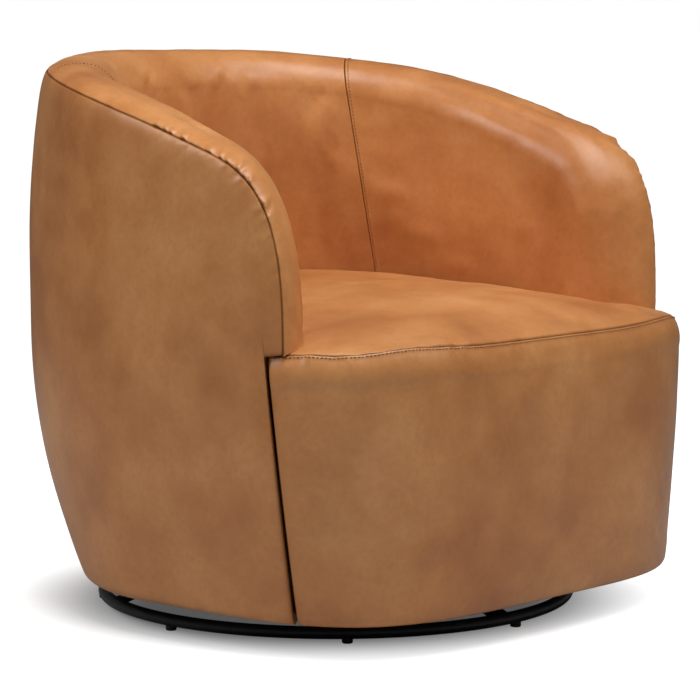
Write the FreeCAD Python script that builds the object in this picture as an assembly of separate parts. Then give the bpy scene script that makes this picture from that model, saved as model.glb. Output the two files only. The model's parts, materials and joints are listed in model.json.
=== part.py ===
import FreeCAD, Part
import math
import os
from FreeCAD import Vector

# A swivel barrel chair: an upholstered tub turning on a round tube base.
# All sizes are millimetres. Heights start at the floor, and azimuths are degrees
# about the swivel axis, from the front of the chair towards its right hand side.

# Plan of the upholstered body at its widest, from the swivel axis
side_reach = 394.0
front_reach = 384.0
back_reach = 422.0
front_squareness = 4.0
back_squareness = 2.0

# Barrel profile, as the share of each reach that is drawn in at bottom and top
widest_height = 388.0
side_draw_low = 0.087
front_draw_low = 0.023
back_draw_low = 0.40
side_draw_top = 0.045
back_draw_top = 0.091
low_curve = 2.33
top_curve = 2.94

# Rim seam, from the middle of the back down to the foot of each arm front
back_seam_height = 719.0
arm_seam_height = 630.0
corner_azimuth = 75.0
arm_front_azimuth = 55.6
arm_foot_height = 330.0
rim_fall_curve = 2.65
arm_corner_squareness = 3.9

# Upholstery of the wall
wall_thickness = 100.0
cover_thickness = 12.0
seam_gap = 0.4
roll_rise = 12.0
roll_middle = 45.0
roll_shoulder = 42.0
pad_thickness = 41.0
pad_crown = 6.0
pad_foot_azimuth = 67.0
pad_seam_azimuth = 124.75
pad_seam_lean = 0.16
pad_seam_width = 3.0
pad_seam_tuck = 4.8
back_pad_shares = (0, 0.28, 0.56, 0.8, 0.88)
body_bottom = 44.0
bottom_round = 12.0

# Seat and front apron
seat_seam_height = 381.0
seat_crown_rise = 44.0
ear_headroom = 7.0
seat_depth = 69.0
apron_low_azimuth = 54.0
apron_top_azimuth = 58.5
apron_thickness = 40.0
apron_gap = 3.0
apron_seam_tuck = 9.0
apron_top_round = 41.0
seat_side_gap = 4.0
seat_ear_share = 0.75
inner_corner_radius = 350.0
crown_span = 300.0

# Crown of the seat: share of the reach from the axis, negative to the front, then the
# share of the crest over the seam that the top has in the middle and at the sides
crown_shares = (
    (-1.04, -0.45, -0.50),
    (-0.975, 0.02, -0.03),
    (-0.885, 0.40, 0.02),
    (-0.73, 0.68, 0.16),
    (-0.52, 0.86, 0.18),
    (-0.30, 0.95, 0.26),
    (0.0, 1.0, 0.39),
    (0.25, 1.0, 0.45),
    (0.50, 0.95, 0.50),
    (0.80, 0.75, 0.40),
    (1.00, 0.50, 0.30))

# Hidden wooden frame
rail_depth = 16.0
rail_thickness = 40.0
rail_height = 40.0
rail_drop = 22.0
rib_thickness = 18.0
rib_azimuths = {"side": 96.0, "rear": 124.0, "back": 152.0}
rail_end_azimuth = 81.0
post_front_azimuth = 61.0
post_turns = (0, 15, 30, 38)
frame_gap = 0.3
frame_side_gap = 2.0
panel_end_gap = 4.0
board_end_gap = 12.0
roll_gap = 1.5
ply_thickness = 12.0
bottom_frame_width = 100.0
board_thickness = 18.0
board_half_width = 150.0
seat_rail_height = 42.0
seat_rail_thickness = 21.0
seat_rail_azimuth = 61.0
front_panel_thickness = 15.0

# Woven seat webbing and the felt on it
web_width = 60.0
web_thickness = 1.6
web_gap = 0.2
web_columns = 5
web_row_count = 5
web_pitch_across = 92.0
web_pitch_along = 96.0
web_first_row = -144.0
web_landing = 4.0
felt_thickness = 6.0

# Dust cover under the body
dust_thickness = 0.8
dust_hole_radius = 130.0

# Round tube base and its two crossed straps
ring_radius = 312.5
ring_tube_radius = 8.0
ring_tube_wall = 2.0
strap_width = 30.0
strap_thickness = 5.0
strap_foot_height = 19.5
strap_top = 41.0
strap_slope = 20.0
strap_azimuths = (-5.3, 66.3)
strap_step = 26.0

# Floor glides
glide_count = 8
glide_radius = 7.0
glide_height = 5.0
glide_stem_radius = 2.5
glide_stem_length = 4.0
glide_chamfer = 1.0
small_gap = 0.15

# Swivel bearing
plate_thickness = 3.0
lower_plate_length = 180.0
lower_plate_width = 140.0
upper_plate_side = 180.0
plate_corner = 14.0
bolt_circle_radius = 92.0
bolt_radius = 3.0
bolt_hole_gap = 0.3
bolt_head_radius = 5.8
bolt_head_height = 4.0
nut_height = 5.0
bolt_tail = 1.5
screw_spacing = 150.0
screw_radius = 2.4
screw_length = 15.0
screw_head_radius = 4.5
screw_head_height = 2.5
ball_count = 12
ball_radius = 4.0
ball_circle_radius = 60.0
ball_gap = 0.05
race_half_width = 8.0
race_floor = 1.2
race_opening = 1.5
cage_thickness = 1.2
cage_half_width = 7.0
cage_gap = 0.15
pivot_radius = 8.0
pivot_gap = 0.05
pivot_head_radius = 13.0
pivot_head_height = 3.0
board_relief_radius = 17.0

# Sizes that follow from the ones above
AXIS = Vector(0, 0, 1)
seat_crest_height = seat_seam_height + seat_crown_rise
arm_notch_height = seat_seam_height + ear_headroom
deck_height = seat_seam_height - seat_depth
lower_plate_top = strap_top + plate_thickness
ball_height = lower_plate_top + race_floor + ball_gap + ball_radius
upper_plate_bottom = ball_height + ball_radius + ball_gap + race_floor
upper_plate_top = upper_plate_bottom + plate_thickness
frame_bottom = upper_plate_top - ply_thickness
gap_height = seat_seam_height - body_bottom
axis_shift = (back_reach - front_reach) / 2
felt_bottom = deck_height + 2 * web_thickness + 4 * web_gap
felt_top = felt_bottom + felt_thickness


def shrink(height, low_draw, top_draw):
    """Share of a reach that is left at a height of the barrel profile."""
    if height < widest_height:
        fall = (widest_height - height) / widest_height
        return 1 - low_draw * fall ** low_curve
    rise = (height - widest_height) / (back_seam_height - widest_height)
    return 1 - top_draw * rise ** top_curve


def outline_radius(azimuth, height):
    """Distance of the outside of the body from the swivel axis."""
    across = abs(math.sin(math.radians(azimuth)))
    along = math.cos(math.radians(azimuth))
    side = side_reach * shrink(height, side_draw_low, side_draw_top)
    if along > 0:
        reach = front_reach * shrink(height, front_draw_low, side_draw_top)
        power = front_squareness
    else:
        reach = back_reach * shrink(height, back_draw_low, back_draw_top)
        power = back_squareness
    return ((across / side) ** power + (abs(along) / reach) ** power) ** (-1 / power)


def polar(radius, azimuth, height):
    angle = math.radians(azimuth)
    return Vector(radius * math.sin(angle), -radius * math.cos(angle), height)


def on_body(azimuth, height, depth=0.0):
    """A point at a depth inside the outside of the body."""
    return polar(outline_radius(azimuth, height) - depth, azimuth, height)


def seam_height(azimuth):
    """Height of the rim seam over the back and the arms, before the arm corner."""
    fall = (180 - azimuth) / (180 - corner_azimuth)
    drop = back_seam_height - arm_seam_height
    if azimuth >= corner_azimuth:
        return back_seam_height - drop * fall ** rim_fall_curve
    slope = rim_fall_curve * drop / (180 - corner_azimuth)
    return arm_seam_height - slope * (corner_azimuth - azimuth)


def corner_point(turn):
    """Azimuth and height of the rim seam, turn degrees round the arm corner."""
    forward = math.sin(math.radians(turn))
    upward = max(math.cos(math.radians(turn)), 0.0)
    size = (forward ** arm_corner_squareness + upward ** arm_corner_squareness)
    forward /= size ** (1 / arm_corner_squareness)
    upward /= size ** (1 / arm_corner_squareness)
    azimuth = corner_azimuth - (corner_azimuth - arm_front_azimuth) * forward
    height = arm_foot_height + (seam_height(azimuth) - arm_foot_height) * upward
    return azimuth, height


class Station:
    """A flat section through the wall, standing on a foot point and passing a rim point."""

    def __init__(self, foot, rim):
        self.azimuth = (foot[0] + rim[0]) / 2
        self.foot_side, self.foot_height = self.sideways(foot), foot[1]
        self.rim_side, self.rim_height = self.sideways(rim), rim[1]
        self.length = math.hypot(self.rim_side - self.foot_side, self.rim_height - self.foot_height)

    def sideways(self, spot):
        azimuth, height = spot
        return outline_radius(azimuth, height) * math.sin(math.radians(azimuth - self.azimuth))

    def point(self, beyond, depth):
        """The point so far beyond the rim, along the section, and so deep in the wall."""
        share = 1 + beyond / self.length
        side = self.foot_side + (self.rim_side - self.foot_side) * share
        height = self.foot_height + (self.rim_height - self.foot_height) * share
        out = outline_radius(self.azimuth, height) - depth
        for _ in range(6):
            azimuth = self.azimuth + math.degrees(math.atan2(side, out))
            radius = outline_radius(azimuth, height) - depth
            out = math.sqrt(radius ** 2 - side ** 2)
        angle = math.radians(self.azimuth)
        x = out * math.sin(angle) + side * math.cos(angle)
        y = -out * math.cos(angle) + side * math.sin(angle)
        return Vector(x, y, height)

    def share_point(self, share, depth):
        return self.point((share - 1) * self.length, depth)

    def height_point(self, height, depth):
        share = (height - self.foot_height) / (self.rim_height - self.foot_height)
        return self.share_point(share, depth)


def arc(start, middle, end):
    return Part.Arc(start, middle, end).toShape()


def line(start, end):
    return Part.LineSegment(start, end).toShape()


def polygon(points):
    return Part.makePolygon(list(points) + [points[0]])


def smooth_edge(points):
    curve = Part.BSplineCurve()
    curve.interpolate(points)
    return curve.toShape()


def body_edge(start, end, height, depth, steps=12):
    """An edge that follows the outside of the body at one height."""
    azimuths = [start + (end - start) * i / steps for i in range(steps + 1)]
    return smooth_edge([on_body(a, height, depth) for a in azimuths])


def slab(edges, thickness):
    """A flat plate of the given outline, raised from its own height."""
    face = Part.Face(Part.Wire(Part.__sortEdges__(edges)))
    return face.extrude(Vector(0, 0, thickness))


def loft(wires):
    return Part.makeLoft(wires, True, False)


def main_solid(shape):
    """The body of a cut shape, without the splinters that the cut leaves beside it."""
    return max(shape.Solids, key=lambda solid: solid.Volume)


def mirrored(shape):
    return shape.mirror(Vector(0, 0, 0), Vector(1, 0, 0))


def cylinder(radius, low, high, centre=Vector(0, 0, 0)):
    return Part.makeCylinder(radius, high - low, Vector(centre.x, centre.y, low))


def rounded_plate(length, width, low, thickness, azimuth):
    """A flat plate with rounded corners, its length along an azimuth."""
    plate = Part.makeBox(length, width, thickness, Vector(-length / 2, -width / 2, low))
    corners = [e for e in plate.Edges if abs(e.tangentAt(e.FirstParameter).z) > 0.9]
    plate = plate.makeFillet(plate_corner, corners)
    plate.rotate(Vector(0, 0, 0), AXIS, azimuth - 90)
    return plate


def export(name, shape):
    """Writes a piece with the middle of the body's plan at the origin."""
    solid = shape.copy()
    solid.translate(Vector(0, -axis_shift, 0))
    solid.exportStep("parts/" + name + ".step")


def outline_stations(foot_height, front_azimuth):
    """Stations from the middle of the back to one arm front, standing at one height."""
    stations = []
    for azimuth in (180, 165, 150, 135, 120, 105, 90, 82, corner_azimuth):
        stations.append(Station((azimuth, foot_height), (azimuth, seam_height(azimuth))))
    for turn in (15, 30, 42, 54, 66, 78, 90):
        foot = corner_azimuth - (corner_azimuth - front_azimuth) * turn / 90
        stations.append(Station((foot, foot_height), corner_point(turn)))
    return stations


def gap_azimuth(height):
    """Azimuth of the gap between the apron and the wall at a height."""
    share = (height - body_bottom) / gap_height
    return apron_low_azimuth + (apron_top_azimuth - apron_low_azimuth) * share


def gap_turn(distance):
    """Turn about the axis that a distance makes at the gap beside the apron."""
    return math.degrees(distance / outline_radius(apron_top_azimuth, seat_seam_height))


def front_notch(clearance):
    """The space in front of the arms that the seat and its apron fill."""
    wires = []
    for height in (0.0, arm_notch_height):
        reach = 3 * front_reach
        edge = gap_azimuth(height) + gap_turn(clearance)
        corners = [Vector(0, 0, height), polar(reach, edge, height), polar(reach, -edge, height)]
        wires.append(polygon(corners))
    return Part.makeLoft(wires, True, True)


def wall_wire(station, outer, inner, foot_round=0.0, seam=None):
    """Section of a panel that follows the barrel, mitred to a seam where it has one."""
    reach = station.length
    out_shares = (foot_round / reach, 0.22, 0.51, 1.0)
    in_shares = (1.0, 0.51, 0.22, 0.0)
    outside = [station.share_point(s, outer) for s in out_shares]
    inside = [station.share_point(s, inner) for s in in_shares]
    if seam:
        outside[3] = seam.point(-seam_gap, outer)
        inside[0] = seam.point(-seam_gap - inner, inner)
    edges = []
    if foot_round:
        turn = station.point(0.29 * foot_round - reach, outer + 0.29 * (inner - outer))
        edges.append(arc(inside[3], turn, outside[0]))
    else:
        edges.append(line(inside[3], outside[0]))
    for i in range(3):
        middle = station.share_point((out_shares[i] + out_shares[i + 1]) / 2, outer)
        edges.append(arc(outside[i], middle, outside[i + 1]))
    edges.append(line(outside[3], inside[0]))
    for i in range(3):
        middle = station.share_point((in_shares[i] + in_shares[i + 1]) / 2, inner)
        edges.append(arc(inside[i], middle, inside[i + 1]))
    return Part.Wire(edges)


def outer_cover():
    """The outside panel of one half of the wall, from the back seam to the arm front."""
    wires = []
    stations = outline_stations(body_bottom, apron_low_azimuth)
    seams = outline_stations(arm_foot_height, pad_foot_azimuth)
    seams[-1] = stations[-1]
    for station, seam in zip(stations, seams):
        wires.append(wall_wire(station, 0, cover_thickness, bottom_round, seam))
    return main_solid(loft(wires).cut(front_notch(apron_gap)))


def pad_wire(station, tuck):
    """Section of an inside pad with the roll over the rim, drawn in by a tuck at a seam."""
    length = station.length
    shoulder = -roll_shoulder * (1 - math.exp(-length / 60))
    seat_line = shoulder - 0.8 * (length + shoulder)
    face = wall_thickness - tuck
    back = wall_thickness - pad_thickness + 1
    start = station.point(0, 0)
    crest = station.point(roll_rise - tuck, roll_middle)
    turn = station.point(shoulder, face)
    contact = station.point(seat_line, face - 2)
    inner = station.point(-length, face - 2)
    outer = station.point(-length, back)
    under = station.point(-rail_drop + roll_gap, back)
    lip = station.point(-rail_drop + roll_gap, cover_thickness + 1)
    mitre = station.point(-cover_thickness, cover_thickness)
    first = station.point(0.8 * (roll_rise - tuck), 0.4 * roll_middle)
    second = station.point((roll_rise + shoulder) / 2 + 11 - tuck, (roll_middle + face) / 2 + 10)
    belly = pad_crown * min(1.0, length / (back_seam_height - arm_foot_height)) ** 2
    third = station.point((shoulder + seat_line) / 2, face + belly)
    return Part.Wire([
        arc(start, first, crest),
        arc(crest, second, turn),
        arc(turn, third, contact),
        line(contact, inner),
        line(inner, outer),
        line(outer, under),
        line(under, lip),
        line(lip, mitre),
        line(mitre, start)])


def pad_station(azimuth, lean_share):
    """A radial station that leans with the seam between the back and an arm."""
    height = seam_height(azimuth)
    middle = (height + arm_foot_height) / 2
    radius = outline_radius(azimuth, middle)
    lean = math.degrees(pad_seam_lean * lean_share * (height - arm_foot_height) / radius) / 2
    rim = azimuth + lean
    return Station((azimuth - lean, arm_foot_height), (rim, seam_height(rim)))


def pad_seam_turn():
    """Turn about the axis over the width of a seam between two inside pads."""
    return math.degrees(pad_seam_width / outline_radius(pad_seam_azimuth, back_seam_height))


def back_pad():
    """The inside back, between the two leaning seams."""
    reach = 180 - pad_seam_azimuth
    half = [pad_wire(pad_station(180 - reach * share, share), 0.0) for share in back_pad_shares]
    half.append(pad_wire(pad_station(180 - reach + pad_seam_turn(), 1), pad_seam_tuck))
    return loft(half[::-1] + [mirror_wire(wire) for wire in half[1:]])


def mirror_wire(wire):
    """The same section on the other side of the chair, edge for edge."""
    edges = []
    for edge in wire.Edges:
        ends = [Vector(-v.Point.x, v.Point.y, v.Point.z) for v in edge.Vertexes]
        if edge.Orientation == "Reversed":
            ends.reverse()
        middle = edge.valueAt((edge.FirstParameter + edge.LastParameter) / 2)
        if isinstance(edge.Curve, Part.Line):
            edges.append(line(ends[0], ends[1]))
        else:
            edges.append(arc(ends[0], Vector(-middle.x, middle.y, middle.z), ends[1]))
    return Part.Wire(edges)


def arm_pad():
    """The inside of one arm with its roll, from the leaning seam round the arm front."""
    seam = pad_seam_azimuth - pad_seam_turn()
    wires = [pad_wire(pad_station(seam, 1), pad_seam_tuck)]
    wires.append(pad_wire(pad_station(seam - 5, 0.9), 0.0))
    wires.append(pad_wire(pad_station(seam - 15, 0.5), 0.0))
    wires.append(pad_wire(pad_station(seam - 26, 0.0), 0.0))
    for azimuth in (88, 81):
        foot = (azimuth, arm_foot_height)
        wires.append(pad_wire(Station(foot, (azimuth, seam_height(azimuth))), 0.0))
    for turn in (0, 15, 30, 42, 54, 66, 78, 90):
        share = turn / 90
        foot = (corner_azimuth - (corner_azimuth - pad_foot_azimuth) * share, arm_foot_height)
        wires.append(pad_wire(Station(foot, corner_point(turn)), 0.0))
    return main_solid(loft(wires).cut(front_notch(apron_gap)))


def apron_station(share):
    """An upright section of the apron, leaning with the gap at its ends."""
    low = (share * apron_low_azimuth, body_bottom)
    top = (share * apron_top_azimuth, seat_seam_height)
    return Station(low, top)


def apron_wire(share, tuck, grow):
    """Section of the apron, drawn in at its ends by a tuck, or grown into its space."""
    station = apron_station(share)
    reach = station.length
    front = tuck - grow
    back = apron_thickness + grow
    foot = station.point(-reach - grow, back)
    toe = station.point(-reach - grow, front + bottom_round)
    turn = station.point(0.29 * bottom_round - reach, front + 0.29 * bottom_round)
    low = station.point(bottom_round - reach, front)
    high = station.point(-apron_top_round, front)
    belly = station.share_point(0.5, front)
    shoulder = station.point(-0.35 * apron_top_round, front + 0.22 * apron_seam_tuck)
    seam = station.point(grow, front + apron_seam_tuck + grow)
    inner = station.height_point(deck_height + grow, back)
    hollow = station.height_point((deck_height + body_bottom) / 2, back)
    return Part.Wire([
        line(foot, toe),
        arc(toe, turn, low),
        arc(low, belly, high),
        arc(high, shoulder, seam),
        line(seam, inner),
        arc(inner, hollow, foot)])


def front_apron(grow=0.0):
    """The padded front that hangs from the seat seam across the whole chair."""
    ends = 1 - 0.5 * apron_seam_tuck / apron_low_azimuth
    wires = [apron_wire(-1, 0.5 * apron_seam_tuck, grow)]
    for step in range(-6, 7):
        wires.append(apron_wire(ends * step / 6, 0.0, grow))
    wires.append(apron_wire(1, 0.5 * apron_seam_tuck, grow))
    return loft(wires)


def crown():
    """A solid whose top is the crowned top of the seat, wider than the seat itself."""
    fall = seat_crest_height - seat_seam_height
    low = deck_height
    half = side_reach + back_reach - front_reach
    wires = []
    for across, middle, side in crown_shares:
        y = across * (front_reach if across < 0 else back_reach)
        top = seat_seam_height + fall * middle
        edge = seat_seam_height + fall * side
        drop = top - edge
        radius = (crown_span ** 2 + drop ** 2) / (2 * drop)
        outer = top - radius + math.sqrt(radius ** 2 - half ** 2)
        left, right = Vector(-half, y, outer), Vector(half, y, outer)
        wires.append(Part.Wire([
            arc(left, Vector(0, y, top), right),
            line(right, Vector(half, y, low)),
            line(Vector(half, y, low), Vector(-half, y, low)),
            line(Vector(-half, y, low), left)]))
    return loft(wires)


def seat_pad():
    """The crowned seat, filling the tub and running out in front of both arms."""
    low = felt_top + seam_gap
    inside = wall_thickness + seat_side_gap
    ear = apron_low_azimuth + seat_ear_share * (apron_top_azimuth - apron_low_azimuth)
    front = body_edge(-ear, ear, low, apron_seam_tuck)
    back = body_edge(ear, 360 - ear, low, inside, 24)
    right = line(on_body(ear, low, apron_seam_tuck), on_body(ear, low, inside))
    left = line(on_body(-ear, low, apron_seam_tuck), on_body(-ear, low, inside))
    block = slab([front, right, back, left], seat_crest_height - low + 1)
    pad = block.common(crown()).cut(front_apron(seam_gap))
    return pad.cut(ear_relief(1)).cut(ear_relief(-1))


def ear_relief(side):
    """The space over one ear of the seat, where the arm front comes down on it."""
    low = arm_notch_height - seam_gap
    start = side * (arm_front_azimuth - math.degrees((roll_rise + seam_gap) / inner_corner_radius))
    end = side * corner_azimuth
    spots = [(inner_corner_radius - 2 * roll_rise, start), (2 * side_reach, start),
             (2 * side_reach, end), (inner_corner_radius - 2 * roll_rise, end)]
    corners = [polar(radius, azimuth, low) for radius, azimuth in spots]
    return Part.Face(polygon(corners)).extrude(Vector(0, 0, seat_crest_height))


def azimuth_of(spot):
    return math.degrees(math.atan2(spot.x, -spot.y))


def arm_post():
    """The block inside one arm front, from the bottom frame up to the rim roll."""
    stations = []
    rear = rail_end_azimuth - math.degrees(frame_gap / side_reach)
    top = seam_height(rear) - rail_drop
    stations.append(Station((rear, upper_plate_top), (rear, top)))
    for turn in post_turns:
        foot = (corner_azimuth - (corner_azimuth - pad_foot_azimuth) * turn / 90, arm_foot_height)
        rim = Station(foot, corner_point(turn)).point(-rail_drop, 0)
        low = corner_azimuth - (corner_azimuth - post_front_azimuth) * turn / post_turns[-1]
        stations.append(Station((low, upper_plate_top), (azimuth_of(rim), rim.z)))
    return loft([wall_wire(s, rail_depth, rail_depth + rail_thickness) for s in stations])


def top_rail():
    """The bent rail under the rim roll, from one arm round the back to the other."""
    wires = []
    end = rail_end_azimuth
    for azimuth in (end, 90, 105, 120, 135, 150, 165, 180, 195, 210, 225, 240, 255, 270, 360 - end):
        height = seam_height(min(azimuth, 360 - azimuth))
        station = Station((azimuth, arm_foot_height), (azimuth, height))
        wires.append(polygon([
            station.point(-rail_drop, rail_depth),
            station.point(-rail_drop, rail_depth + rail_thickness),
            station.point(-rail_drop - rail_height, rail_depth + rail_thickness),
            station.point(-rail_drop - rail_height, rail_depth)]))
    return loft(wires)


def frame_rib(azimuth):
    """One upright rib cut to the barrel profile, from the bottom frame to the top rail."""
    side = min(azimuth, 360 - azimuth)
    slope = abs(seam_height(side) - seam_height(side - 1)) / math.radians(side_reach)
    top = seam_height(side) - rail_drop - rail_height - frame_gap - slope * rib_thickness / 2
    station = Station((azimuth, upper_plate_top), (azimuth, top))
    depth = cover_thickness + frame_side_gap
    face = Part.Face(wall_wire(station, depth, rail_depth + rail_thickness))
    angle = math.radians(azimuth)
    along = Vector(math.cos(angle), math.sin(angle), 0)
    face.translate(along * (-rib_thickness / 2))
    return face.extrude(along * rib_thickness)


def base_outline(height, clearance):
    """Edges round the bottom of the frame, stepped in behind the apron."""
    ear = apron_low_azimuth + math.degrees(apron_gap / side_reach)
    deep = apron_thickness + clearance
    shallow = cover_thickness + clearance
    front = body_edge(-ear, ear, height, deep)
    back = body_edge(ear, 360 - ear, height, shallow, 24)
    right = line(on_body(ear, height, deep), on_body(ear, height, shallow))
    left = line(on_body(-ear, height, deep), on_body(-ear, height, shallow))
    return [front, right, back, left]


def round_outline(height, depth):
    return [body_edge(-90, 90, height, depth), body_edge(90, 270, height, depth)]


def bottom_frame():
    """The flat ring of plywood that every upright stands on."""
    ring = slab(base_outline(frame_bottom, frame_side_gap), ply_thickness)
    return ring.cut(slab(round_outline(frame_bottom, bottom_frame_width), ply_thickness))


def dust_cover():
    """The thin cloth under the frame, with a round hole for the swivel."""
    low = frame_bottom - dust_thickness
    cloth = slab(base_outline(low, frame_side_gap), dust_thickness)
    return cloth.cut(cylinder(dust_hole_radius, low, frame_bottom))


def screw_spots():
    reach = screw_spacing / 2
    return [Vector(x, y, 0) for x in (-reach, reach) for y in (-reach, reach)]


def swivel_board():
    """The plywood board across the frame that the swivel is screwed to."""
    half = outline_radius(90, frame_bottom) - rail_depth - rail_thickness - board_end_gap
    corner = Vector(-half, -board_half_width, upper_plate_top)
    board = Part.makeBox(2 * half, 2 * board_half_width, board_thickness, corner)
    board = board.cut(cylinder(board_relief_radius, upper_plate_top, upper_plate_top + board_thickness))
    for spot in screw_spots():
        hole = cylinder(screw_radius + ball_gap, upper_plate_top, upper_plate_top + screw_length, spot)
        board = board.cut(hole)
    return board


def front_panel():
    """The bent plywood panel behind the apron, leaning with the gaps at its ends."""
    reach = 1 + gap_turn(apron_gap + cover_thickness - panel_end_gap) / apron_top_azimuth
    near = apron_thickness + frame_side_gap
    far = near + front_panel_thickness
    wires = []
    for step in range(-6, 7):
        station = apron_station(reach * step / 6)
        heights = (upper_plate_top, (upper_plate_top + deck_height) / 2, deck_height)
        outer = [station.height_point(z, near) for z in heights]
        inner = [station.height_point(z, far) for z in heights]
        wires.append(Part.Wire([
            arc(*outer),
            line(outer[2], inner[2]),
            arc(inner[2], inner[1], inner[0]),
            line(inner[0], outer[0])]))
    return loft(wires)


def seat_rail():
    """The bent rail inside the ribs that the webbing is fixed to."""
    low = deck_height - seat_rail_height
    depth = rail_depth + rail_thickness + frame_gap
    start = seat_rail_azimuth
    outer = body_edge(start, 360 - start, low, depth, 24)
    inner = body_edge(start, 360 - start, low, depth + seat_rail_thickness, 24)
    ends = [line(on_body(a, low, depth), on_body(a, low, depth + seat_rail_thickness))
            for a in (start, 360 - start)]
    return slab([outer, inner] + ends, seat_rail_height)


def crossing(offset, depth, along_y, low, high):
    """Where a straight line at an offset from the axis meets a depth inside the body."""
    for _ in range(40):
        middle = (low + high) / 2
        spot = on_body(middle, deck_height, depth)
        reached = spot.x if along_y else -spot.y
        if (reached < abs(offset)) == along_y:
            low = middle
        else:
            high = middle
    return spot


def web_belt(start, end, crossings, over):
    """A belt lying along X, passing over and under the belts that cross it."""
    middle = deck_height + web_thickness + 2 * web_gap
    lift = web_thickness / 2 + web_gap / 2
    path = [(start, deck_height + web_thickness / 2)]
    for spot in crossings:
        level = middle + (lift if over else -lift)
        path += [(spot - web_width / 2, level), (spot + web_width / 2, level)]
        over = not over
    path.append((end, deck_height + web_thickness / 2))
    half = web_thickness / 2
    lower = [Vector(x, -web_width / 2, z - half) for x, z in path]
    upper = [Vector(x, -web_width / 2, z + half) for x, z in reversed(path)]
    return Part.Face(polygon(lower + upper)).extrude(Vector(0, web_width, 0))


def web_rows(count, pitch, first):
    return [first + pitch * i for i in range(count)]


def webbing():
    """Belts from front to back and from side to side, woven through each other."""
    columns = web_rows(web_columns, web_pitch_across, -web_pitch_across * (web_columns - 1) / 2)
    rows = web_rows(web_row_count, web_pitch_along, web_first_row)
    front_depth = apron_thickness + front_panel_thickness / 2
    side_depth = rail_depth + rail_thickness + seat_rail_thickness / 2 + web_landing
    long_belts = []
    for i, x in enumerate(columns):
        front = crossing(x, front_depth + web_landing, True, 0, 50).y
        back = crossing(x, side_depth, True, 180, 91).y
        belt = web_belt(front, back, rows, i % 2 == 0)
        belt.rotate(Vector(0, 0, 0), AXIS, 90)
        belt.translate(Vector(x, 0, 0))
        long_belts.append(belt)
    cross_belts = []
    for i, y in enumerate(rows):
        reach = math.sqrt(max(0.0, 1 - (y / (back_reach - side_depth)) ** 2))
        half = (side_reach - side_depth) * (reach if y > 0 else 1)
        belt = web_belt(-half, half, columns, i % 2 == 1)
        belt.translate(Vector(0, y, 0))
        cross_belts.append(belt)
    return Part.makeCompound(long_belts), Part.makeCompound(cross_belts)


def felt_pad():
    """The felt that lies on the webbing under the seat."""
    inset = front_panel_thickness + apron_thickness
    front = body_edge(-seat_rail_azimuth, seat_rail_azimuth, felt_bottom, inset)
    start = seat_rail_azimuth
    depth = wall_thickness + seat_side_gap
    back = body_edge(start, 360 - start, felt_bottom, depth, 24)
    sides = [line(on_body(a, felt_bottom, inset), on_body(a, felt_bottom, depth))
             for a in (start, 360 - start)]
    return slab([front, back] + sides, felt_thickness)


def base_ring():
    """The round tube hoop on the floor, drilled for the glides."""
    centre = Vector(0, 0, glide_height + ring_tube_radius)
    tube = Part.makeTorus(ring_radius, ring_tube_radius, centre, AXIS)
    tube = tube.cut(Part.makeTorus(ring_radius, ring_tube_radius - ring_tube_wall, centre, AXIS))
    for spot in glide_spots():
        hole = cylinder(glide_stem_radius + small_gap, 0, centre.z, spot)
        tube = tube.cut(hole)
    return tube


def ring_space(grow):
    centre = Vector(0, 0, glide_height + ring_tube_radius)
    return Part.makeTorus(ring_radius, ring_tube_radius + grow, centre, AXIS)


def glide_spots():
    return [polar(ring_radius, 360 * i / glide_count, 0) for i in range(glide_count)]


def floor_glides():
    """The plastic feet pressed into the underside of the hoop."""
    glides = []
    for spot in glide_spots():
        foot = cylinder(glide_radius, 0, glide_height + ring_tube_wall, spot)
        rim = [e for e in foot.Edges if e.BoundBox.ZMax < glide_chamfer]
        foot = foot.makeChamfer(glide_chamfer, rim).cut(ring_space(small_gap))
        stem = cylinder(glide_stem_radius, glide_height / 2, glide_height + glide_stem_length, spot)
        glides.append(foot.fuse(stem).removeSplitter())
    return Part.makeCompound(glides)


def bolt_spots():
    return [polar(bolt_circle_radius, azimuth + turn, 0) for azimuth in strap_azimuths
            for turn in (0, 180)]


def cross_strap(azimuth, stepped):
    """A flat strap across the hoop, bent up to the swivel, drilled for two bolts."""
    run = (strap_top - strap_foot_height) / math.tan(math.radians(strap_slope))
    flat = ring_radius - run
    half_top = [(-ring_radius, strap_foot_height), (-flat, strap_top)]
    if stepped:
        half_top += [(-strap_step - strap_thickness, strap_top), (-strap_step, strap_top - strap_thickness)]
    top = half_top + [(-s, z) for s, z in reversed(half_top)]
    bottom = [(s, z - strap_thickness) for s, z in reversed(top)]
    profile = [Vector(s, -strap_width / 2, z) for s, z in top + bottom]
    strap = Part.Face(polygon(profile)).extrude(Vector(0, strap_width, 0))
    strap.rotate(Vector(0, 0, 0), AXIS, azimuth - 90)
    for spot in bolt_spots():
        strap = strap.cut(cylinder(bolt_radius + bolt_hole_gap, 0, strap_top, spot))
    return strap.cut(ring_space(0))


def race(low, high):
    """A ring that carries the balls, with their groove cut into it."""
    inner = ball_circle_radius - race_half_width
    outer = ball_circle_radius + race_half_width
    ring = cylinder(outer, low, high).cut(cylinder(inner, low, high))
    groove = Part.makeTorus(ball_circle_radius, ball_radius + ball_gap, Vector(0, 0, ball_height), AXIS)
    return ring.cut(groove)


def lower_plate():
    """The swivel plate bolted to the straps, with the lower ball race."""
    bisector = (strap_azimuths[0] + strap_azimuths[1]) / 2
    plate = rounded_plate(lower_plate_length, lower_plate_width, strap_top, plate_thickness, bisector)
    plate = plate.fuse(race(lower_plate_top, ball_height - race_opening)).removeSplitter()
    for spot in bolt_spots():
        plate = plate.cut(cylinder(bolt_radius + bolt_hole_gap, strap_top, lower_plate_top, spot))
    return plate.cut(cylinder(pivot_radius, strap_top, lower_plate_top))


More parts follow.
